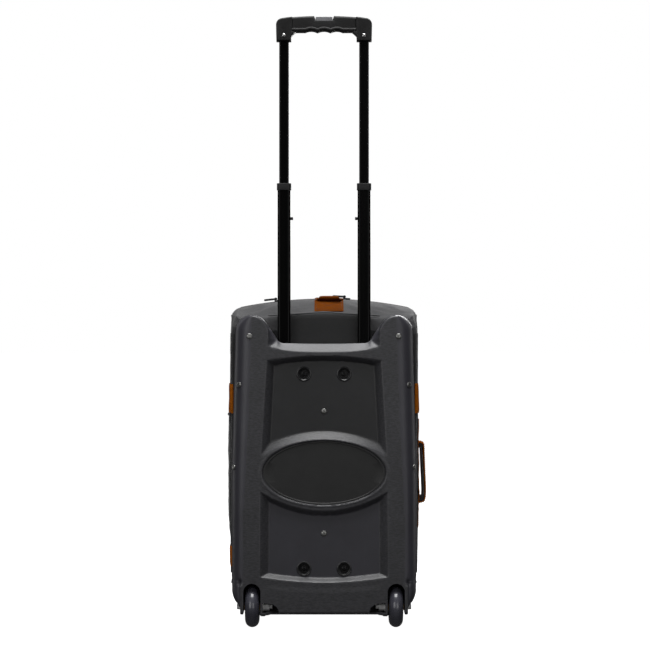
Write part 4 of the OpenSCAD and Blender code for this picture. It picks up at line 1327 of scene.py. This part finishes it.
def pad_loft(name, loop, rings, mat, body_name, amount):
    """A closed pad: rings are (inset, depth, share) from the middle of its back, round its edge, to
    the middle of its front. loop gives the outline with outward normals; depth is along Y, share
    draws a ring in towards the middle, and amount is the height of the wrinkles."""
    x0, z0, nx, nz = np.array(loop).T
    verts = []
    cx, cz = x0.mean(), z0.mean()
    for inset, depth, share in rings:
        x, z = x0 - nx * inset, z0 - nz * inset
        x, z = cx + (x - cx) * share, cz + (z - cz) * share
        verts += [(MID + a, depth, b) for a, b in zip(x, z)]
    lift = crumple(verts, 38.0, amount, 5.0)
    middle = np.mean([r[1] for r in rings])
    verts = [(a, b + (w if b > middle else 0.0), c) for (a, b, c), w in zip(verts, lift)]
    return to_object(name, verts, capped(verts, len(loop)), mat, body_name, True, 45.0)


def rounded_loop(x_half, z_low, z_high, r, step=4.0):
    """A rounded rectangle seen from behind, with outward normals."""
    out = []
    for cx, cz, start in ((x_half - r, z_low + r, -90), (x_half - r, z_high - r, 0),
                          (r - x_half, z_high - r, 90), (r - x_half, z_low + r, 180)):
        a = math.radians(start)
        out += arc_points(cx, cz, r, a, a + math.pi / 2, step)
        out.append((cx + r * math.cos(a + math.pi / 2), cz + r * math.sin(a + math.pi / 2),
                    math.cos(a + math.pi / 2), math.sin(a + math.pi / 2)))
    filled = []
    for (x, z, nx, nz), (x2, z2, _, _) in zip(out, out[1:] + out[:1]):
        filled.append((x, z, nx, nz))
        gap = math.hypot(x2 - x, z2 - z)
        if gap > 2 * step:
            count = int(gap / step)
            filled += [(x + (x2 - x) * k / count, z + (z2 - z) * k / count, nx, nz) for k in range(1, count)]
    return filled


def build_lid():
    """The padded front lid, its seams and its piping."""
    shares = [0.04, 0.12, 0.22, 0.34, 0.46, 0.58, 0.7, 0.8, 0.88, 0.94, 0.98]
    back = LID_BACK
    rings = [(5.0, back + 0.1, s) for s in shares]
    rings += [(5.0, back + 0.05, 1), (1.2, back, 1), (0.3, back + 0.8, 1)]
    rings += [(0.0, back + 2.0, 1), (0.0, back + 4.5, 1), (0.8, back + 6.6, 1), (2.6, back + 7.8, 1),
              (5.5, back + 8.8, 1), (10, back + 9.6, 1), (17, back + 10.2, 1)]
    rings += [(17, back + 10.2 + 0.8 * (1 - s), s) for s in reversed(shares)]
    lid = pad_loft("lid_shell", outline(), rings, MAT["dark"], LID, 0.7)
    lid.data.materials.append(MAT["grey"])
    lid.data.materials.append(MAT["lining"])
    zones = []
    for p in lid.data.polygons:
        z = p.center.z / MM
        zones.append(2 if p.center.y / MM < back + 0.6 and abs(p.normal.y) > 0.7 else int(z > 486 or z < 58))
    lid.data.polygons.foreach_set("material_index", zones)
    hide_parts("lid_panel")
    edge = [(MID + x - nx * 1.6, back + 7.6, z - nz * 1.6) for x, z, nx, nz in outline()]
    joined("lid_piping", [tube(edge, 1.7, 8, closed=True)], MAT["trim"], LID, 60.0)
    hit = surface_of(lid)
    for name, z in (("lid_upper_seam", 486), ("lid_lower_seam", 58)):
        half = 150 if z > 400 else 138
        line = [hit((MID + x, 110, z), (0, -1, 0)) for x in np.linspace(-half, half, 90)]
        seam_line(name, line, MAT["trim"], 1.1, LID)
        row = [hit((MID + x, 110, z + 4.5), (0, -1, 0)) for x in np.linspace(-half, half, 90)]
        sew(name + "_stitching", row, MAT["dark_thread"], LID, length=2.6, gap=1.4, radius=0.3)


build_lid()

POCKET_ZIP_X = (corner("pocket_slider", 0, 0) + corner("pocket_slider", 1, 0)) / 2 - MID


def build_lid_pocket():
    """The pocket on the lid, with its upright zip."""
    half = (corner("lid_pocket", 1, 0) - corner("lid_pocket", 0, 0)) / 2
    low_z, high_z = corner("lid_pocket", 0, 2), corner("lid_pocket", 1, 2)
    back, front = LID_FRONT - 0.4, POCKET_FRONT
    loop = rounded_loop(half, low_z, high_z, 30.0)
    shares = [0.05, 0.2, 0.4, 0.6, 0.8, 0.94]
    rings = [(3.0, back, s) for s in shares] + [(3.0, back, 1), (0.6, back + 0.3, 1), (0, back + 1.6, 1)]
    rings += [(-1.6, back + 6, 1), (-2.6, back + 11, 1), (-2.0, back + 16, 1), (-0.4, front - 6.5, 1),
              (1.6, front - 3.4, 1), (5, front - 1.4, 1), (10, front - 0.5, 1), (17, front - 0.1, 1)]
    rings += [(17, front, s) for s in (0.97, 0.92, 0.85, 0.77, 0.68, 0.58, 0.47, 0.36, 0.25, 0.14, 0.05)]
    pocket = pad_loft("pocket_shell", loop, rings, MAT["grey"], LID, 0.8)
    pocket.data.materials.append(MAT["dark"])
    zones = [1 if p.center.y / MM < front - 5 else 0 for p in pocket.data.polygons]
    pocket.data.polygons.foreach_set("material_index", zones)
    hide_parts("lid_pocket")
    rim = [(MID + x - nx * 0.6, front - 5.0, z - nz * 0.6) for x, z, nx, nz in loop]
    joined("pocket_piping", [tube(rim, 1.6, 8, closed=True)], MAT["trim"], LID, 60.0)
    base = [(MID + x + nx * 0.6, back + 1.2, z + nz * 0.6) for x, z, nx, nz in loop]
    joined("pocket_base_piping", [tube(base, 1.3, 8, closed=True)], MAT["trim"], LID, 60.0)
    hit = surface_of(pocket)
    line = [hit((MID + POCKET_ZIP_X, 150, z), (0, -1, 0)) for z in np.linspace(110, 432, 110)]
    points, normals = lay(line, 0.25)
    tape = strap("pocket_zip_tape", points, normals, 24, 0.9, LID, MAT["trim"])
    points, normals = lay(line, 0.9)
    teeth = joined("pocket_zip_teeth", [zip_teeth(points, normals, 0)], MAT["black"], LID, 30.0)
    sewn = []
    for u in (-9.5, 9.5):
        row = [p + Vector((u, 0, 0)) for p, _ in line]
        raised = [p + n * 0.9 for p, (_, n) in zip(row, line)]
        sewn.append(stitches(raised, [n for _, n in line], 2.4, 1.4, 0.28))
    joined("pocket_zip_stitching", sewn, MAT["dark_thread"], LID, 60.0)


def zip_teeth(points, normals, offset, pitch=2.3, width=2.2):
    """Interlocking teeth along a path. offset shifts them to one side: -1, 1, or 0 for both sides."""
    pts = [Vector(p) for p in points]
    marks = [0.0]
    for a, b in zip(pts, pts[1:]):
        marks.append(marks[-1] + (b - a).length)
    verts, faces = [], []
    rows = frames_along(pts, [Vector(n) for n in normals])
    sides = (-1, 1) if offset == 0 else (offset,)
    profile = ((0.55, 0.0, 0.9), (0.55, width, 0.9), (0.7, width + 0.7, 0.5), (0.7, width + 0.7, -0.3),
               (0.55, 0.0, -0.3))
    for k in range(int(marks[-1] / pitch)):
        for side in sides:
            s = (k + (0.25 if side > 0 else 0.75)) * pitch
            i = max(min(np.searchsorted(marks, s), len(marks) - 1), 1)
            f = (s - marks[i - 1]) / max(marks[i] - marks[i - 1], 1e-6)
            p = rows[i - 1][0].lerp(rows[i][0], f)
            _, tangent, across, lift = rows[i]
            base = len(verts)
            for u, w, h in profile:
                for e in (-1, 1):
                    verts.append(tuple(p + tangent * (u * e * 0.8) + across * (side * (w - 0.6)) + lift * h))
            for j in range(5):
                a, b = base + 2 * j, base + 2 * ((j + 1) % 5)
                faces.append((a, a + 1, b + 1, b))
            faces.append(tuple(base + 2 * j for j in range(5)))
            faces.append(tuple(base + 2 * j + 1 for j in reversed(range(5))))
    return verts, faces


build_lid_pocket()


def zip_path(grow):
    """The line of the main zip, from the lower left corner, under, up the right and over the top."""
    loop = outline(3.0, grow)
    start = min(range(len(loop)), key=lambda k: math.hypot(loop[k][0] + BODY_HALF, loop[k][1] - 290))
    loop = loop[start:] + loop[:start]
    return [p for p in loop if p[0] > -150]


def build_main_zip():
    """Both halves of the zip that closes the lid: tapes, teeth and stitching."""
    for name, node_name, y0, y1, side, rides in (("body_zip_cloth", "body_zip_tape", 72.5, 80.0, -1, BAG),
                                                 ("lid_zip_cloth", "lid_zip_tape", LID_BACK, 87.4, 1, LID)):
        verts = []
        path = zip_path(0.0)
        ring = [(y0, -1.0), (y0, 0.7), (y0 + 0.6, 1.15), (y1 - 0.6, 1.15), (y1, 0.8), (y1, -1.0)]
        for x, z, nx, nz in path:
            verts += [(MID + x + nx * g, y, z + nz * g) for y, g in ring]
        tape = to_object(name, verts, capped(verts, len(ring)), MAT["trim"], rides, True, 40.0)
        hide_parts(node_name)
        line = zip_path(1.4)
        points = [(MID + x, ZIP_Y, z) for x, z, _, _ in line]
        normals = [(nx, 0, nz) for _, _, nx, nz in line]
        probe = frames_along([Vector(p) for p in points[:3]], [Vector(n) for n in normals[:3]])[1][2].y
        turn = side if probe > 0 else -side
        row = [zip_teeth(points, normals, turn)]
        teeth = joined(name.replace("cloth", "teeth"), row, MAT["black"], rides, 30.0)
        y_row = y0 + 1.6 if side < 0 else y1 - 1.6
        row = [(MID + x + nx * 1.2, y_row, z + nz * 1.2) for x, z, nx, nz in path]
        sewn = stitches(row, [(p[2], 0, p[3]) for p in path], 2.4, 1.4, 0.28, 0.0)
        joined(name.replace("cloth", "stitching"), [sewn], MAT["dark_thread"], rides, 60.0)


build_main_zip()


def build_hinge_strip():
    """The fabric hinge down the left side. On the bag it bends as the lid opens; here it is one fixed strip,
    left on no body.
    """
    heights = np.linspace(78, 522, 90)
    ring = [(70, -0.2), (70, 0.9), (74, 1.1), (77, 1.1), (79, 1.1), (ZIP_Y, 1.1), (81.3, 1.1),
            (83.5, 1.1), (86.5, 0.9), (86.5, -0.2), (83.5, 0.2), (81.3, 0.2), (ZIP_Y, 0.2), (79, 0.2),
            (77, 0.0), (74, -0.1)]
    verts = [(MID - BODY_HALF - g, y, z) for z in heights for y, g in ring]
    strip = to_object("lid_hinge_strip", verts, capped(verts, len(ring)), MAT["trim"], None, True, 50.0)
    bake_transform(strip)


build_hinge_strip()


def build_side_pocket():
    """A low stretch pocket on the left side with a bound mouth."""
    y_low, y_high = corner("side_pocket", 0, 1), corner("side_pocket", 1, 1)
    z_low, z_high = corner("side_pocket", 0, 2), corner("side_pocket", 1, 2)
    rows, cols = 40, 30
    verts = []
    for layer in (1.0, 0.0):
        for i in range(rows):
            for j in range(cols):
                v, u = i / (rows - 1), j / (cols - 1)
                y, z = y_low + (y_high - y_low) * u, z_low + (z_high - z_low) * v
                place, _ = on_side(-1, y, z)
                edge = min(1.0, 9 * min(u, 1 - u)) * min(1.0, 9 * v)
                belly = (math.sin(math.pi * u) * math.sin(math.pi * min(0.95, 0.1 + 0.8 * v))) ** 0.8
                wrinkle = noise.fractal(Vector((y, z, 4.0)) / 26, 1.0, 2.0, 3) * 0.5 * edge
                out = layer * (0.8 + 1.6 * edge + 2.0 * belly * edge + wrinkle) - (1 - layer) * 0.4
                verts.append((place.x - out, y, z))
    count = rows * cols
    faces = grid_faces(rows, cols) + [tuple(k + count for k in f[::-1]) for f in grid_faces(rows, cols)]
    border = grid_border(rows, cols)
    for a, b in zip(border, border[1:] + border[:1]):
        faces.append((a, a + count, b + count, b))
    pocket = to_object("side_pocket_cloth", verts, faces, MAT["dark"], BAG, True, 60.0)
    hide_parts("side_pocket")
    mouth = [Vector(verts[(rows - 1) * cols + j]) + Vector((-0.3, 0, 0.2)) for j in range(cols)]
    joined("side_pocket_binding", [tube(mouth, 2.0, 10, (1, 0, 0.2))], MAT["trim"], BAG, 60.0)


build_side_pocket()


# ---------------------------------------------------------------- grip, sliders and pulls

FINGER_PITCH = 21.9
BLOCK_X = 54.0


def grip_top(x):
    """Height of the grip's crowned top above its lower edge."""
    return 42.8 - 3.6 * (x / 70.0) ** 2


def finger_edge(x):
    """Height of the scalloped underside, with three finger hollows in the middle."""
    if abs(x) > 1.5 * FINGER_PITCH:
        return 15.6
    return 14.9 + 2.9 * abs(math.cos(math.pi * x / FINGER_PITCH)) ** 0.8


def build_grip():
    """The grip: two end blocks, a soft bar with finger hollows, the button and the screws."""
    low, hub = GRIP_LOW, TUBE_Y
    ends = []
    for s in (-1, 1):
        corner_arc = [(GRIP_HALF - 11.5 + 11.5 * math.cos(a), 27.2 + 11.5 * math.sin(a))
                      for a in (math.radians(90 * k / 9) for k in range(10))]
        loop = [(GRIP_HALF - 0.6, 0.0)] + corner_arc + [(62.0, grip_top(62.0)), (BLOCK_X, grip_top(BLOCK_X)),
                                                      (BLOCK_X, 16.2), (47.6, 15.8), (55.2, 9.0), (55.6, 0.0)]
        ends.append(rounded_prism([(MID + s * x, low + z) for x, z in loop], hub - 12, hub + 12, 2.4))
    blocks = joined("grip_end_set", ends, MAT["grip"], "inner_stage", 40.0)
    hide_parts("grip_blocks")
    reach = BLOCK_X + 1.4
    span = [-reach + 2 * reach * k / 76 for k in range(77)]
    over = [(x, grip_top(x) - 0.4) for x in span if x > 22.0]
    half = [(14.4, 19.0), (14.4, 35.9), (16.9, grip_top(16.9) - 0.4)] + over + [(reach, 19.0)]
    loops = [[(MID + s * x, low + z) for x, z in half] for s in (-1, 1)]
    loops.append([(MID + x, low + z) for x, z in ((-20, 19.0), (-20, 35.9), (20, 35.9), (20, 19.0))])
    ridge = [(x, finger_edge(x)) for x in span] + [(x, finger_edge(x) + 6.2) for x in reversed(span)]
    ridge = [(MID + x, low + z) for x, z in ridge]
    bar = joined("grip_hand_bar", [rounded_prism(loop, hub - 11, hub + 11, 3.6) for loop in loops]
                 + [rounded_prism(ridge, hub - 12, hub + 12, 2.4)],
                 MAT["grip_soft"], "inner_stage", 40.0)
    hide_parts("grip_bar")
    key = rounded_outline(-14.3, 33.0, 14.3, 40.7, 1.4)
    key = rounded_prism([(MID + x, low + z) for x, z in key], hub - 10.4, hub + 10.4, 1.1)
    # the button's light grey is a painted highlight on its top
    button = joined("grip_push_button", [key], MAT["button"], "button", 40.0)
    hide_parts("grip_button")
    screws = []
    for s in (-1, 1):
        profile = [(0.0, 10.3), (1.5, 10.3), (1.7, 11.1), (2.9, 10.6), (3.3, 9.8), (3.2, 9.0), (1.5, 9.0),
                   (1.5, 0)]
        screws.append(lathe(profile, (MID + s * TUBE_X, hub - 2.6, low + 9.0), (0, -1, 0), 28))
    screw = joined("grip_screw_set", screws, MAT["steel"], "inner_stage")
    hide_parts("grip_screws")


def rounded_outline(x0, z0, x1, z1, r):
    """A rectangle with rounded corners, as points."""
    out = []
    for cx, cz, start in ((x1 - r, z0 + r, -90), (x1 - r, z1 - r, 0),
                          (x0 + r, z1 - r, 90), (x0 + r, z0 + r, 180)):
        angles = [math.radians(start + 18 * k) for k in range(6)]
        out += [(cx + r * math.cos(a), cz + r * math.sin(a)) for a in angles]
    return out


build_grip()


def thicken(obj, extra):
    """A rubber overmould: the piece's faces moved out along their normals, in millimetres."""
    normals = [v.normal.copy() for v in obj.data.vertices]
    for vertex, normal in zip(obj.data.vertices, normals):
        vertex.co += normal * extra * MM
    obj.data.update()


for side in ("left", "right"):
    slider, pull = "main_slider_" + side, "main_pull_" + side
    bevelled_copy("zip_slider_" + side, slider, MAT["blackened"], slider, 0.5, 2)
    thicken(bevelled_copy("zip_pull_" + side, pull, MAT["black"], pull, 0.5, 2), 0.9)
bevelled_copy("pocket_zip_slider", "pocket_slider", MAT["blackened"], "pocket_slider", 0.5, 2)
bevelled_copy("pocket_zip_pull", "pocket_pull", MAT["black"], "pocket_pull", 0.5, 2)


# ---------------------------------------------------------------- lights, floor and camera

def area_light(name, place, target, size, power, size_y=None):
    """A rectangular light at a place, turned to a target."""
    data = bpy.data.lights.new(name, "AREA")
    data.energy = power
    data.shape = "RECTANGLE"
    data.size = size
    data.size_y = size_y or size
    light = bpy.data.objects.new(name, data)
    bpy.context.scene.collection.objects.link(light)
    light.location = place
    light.rotation_euler = (Vector(target) - Vector(place)).to_track_quat("-Z", "Y").to_euler()
    return light


def studio_world():
    """White to the camera, a dim studio to everything else."""
    world = bpy.data.worlds.new("studio")
    bpy.context.scene.world = world
    world.use_nodes = True
    tree = world.node_tree
    shown = tree.nodes["Background"]
    shown.inputs["Color"].default_value = (1, 1, 1, 1)
    dim = tree.nodes.new("ShaderNodeBackground")
    dim.inputs["Color"].default_value = (1, 1, 1, 1)
    dim.inputs["Strength"].default_value = 0.05
    path = tree.nodes.new("ShaderNodeLightPath")
    mix = tree.nodes.new("ShaderNodeMixShader")
    tree.links.new(path.outputs["Is Camera Ray"], mix.inputs[0])
    tree.links.new(dim.outputs[0], mix.inputs[1])
    tree.links.new(shown.outputs[0], mix.inputs[2])
    tree.links.new(mix.outputs[0], tree.nodes["World Output"].inputs["Surface"])


def floor_material():
    mat, tree, bsdf = new_material("pale_floor")
    speck = noise_tex(tree, object_coords(tree), 30.0, 3.0)
    shade = ramp(tree, speck, [(0.3, (0.50, 0.50, 0.50)), (0.7, (0.52, 0.52, 0.52))])
    tree.links.new(shade, bsdf.inputs["Base Color"])
    bsdf.inputs["Roughness"].default_value = 0.95
    bsdf.inputs["Specular IOR Level"].default_value = 0.1
    bsdf.inputs["Emission Color"].default_value = (1, 1, 1, 1)
    bsdf.inputs["Emission Strength"].default_value = 1.0
    return mat


def build_stage():
    """World, lights, floor and the photograph's camera."""
    scene = bpy.context.scene
    studio_world()
    area_light("overhead", (0, -0.5, 2.5), (0, -0.1, 0.4), 1.6, 64.0)
    area_light("left_fill", (-1.7, -3.1, 1.0), (0, 0, 0.45), 1.8, 18.5)
    area_light("right_fill", (1.3, -3.3, 0.8), (0, 0, 0.45), 1.8, 12.5)
    area_light("left_rim", (-1.7, 0.9, 0.9), (0, -0.05, 0.6), 0.5, 3.0, 2.0)
    area_light("right_rim", (1.7, 0.9, 0.9), (0, -0.05, 0.6), 0.5, 3.0, 2.0)
    area_light("lid_fill", (0.9, 3.0, 1.6), (0, 0.1, 0.4), 1.7, 44.0)
    floor = to_object("studio_floor", [(-30000, -30000, 0), (30000, -30000, 0), (30000, 30000, 0),
                                       (-30000, 30000, 0)], [(0, 1, 2, 3)], floor_material(), None, False)
    floor.visible_diffuse = False
    floor.visible_glossy = False
    camera = bpy.data.cameras.new("photo_camera")
    camera.lens = 36.0 * 3.2 / 1.1015
    camera.sensor_width = 36.0
    obj = bpy.data.objects.new("photo_camera", camera)
    scene.collection.objects.link(obj)
    obj.location = ((MID + 1.6) * MM, -3.3, 0.514)
    obj.rotation_euler = (math.radians(90), 0, 0)
    scene.camera = obj
    scene.view_settings.view_transform = "Standard"


build_stage()
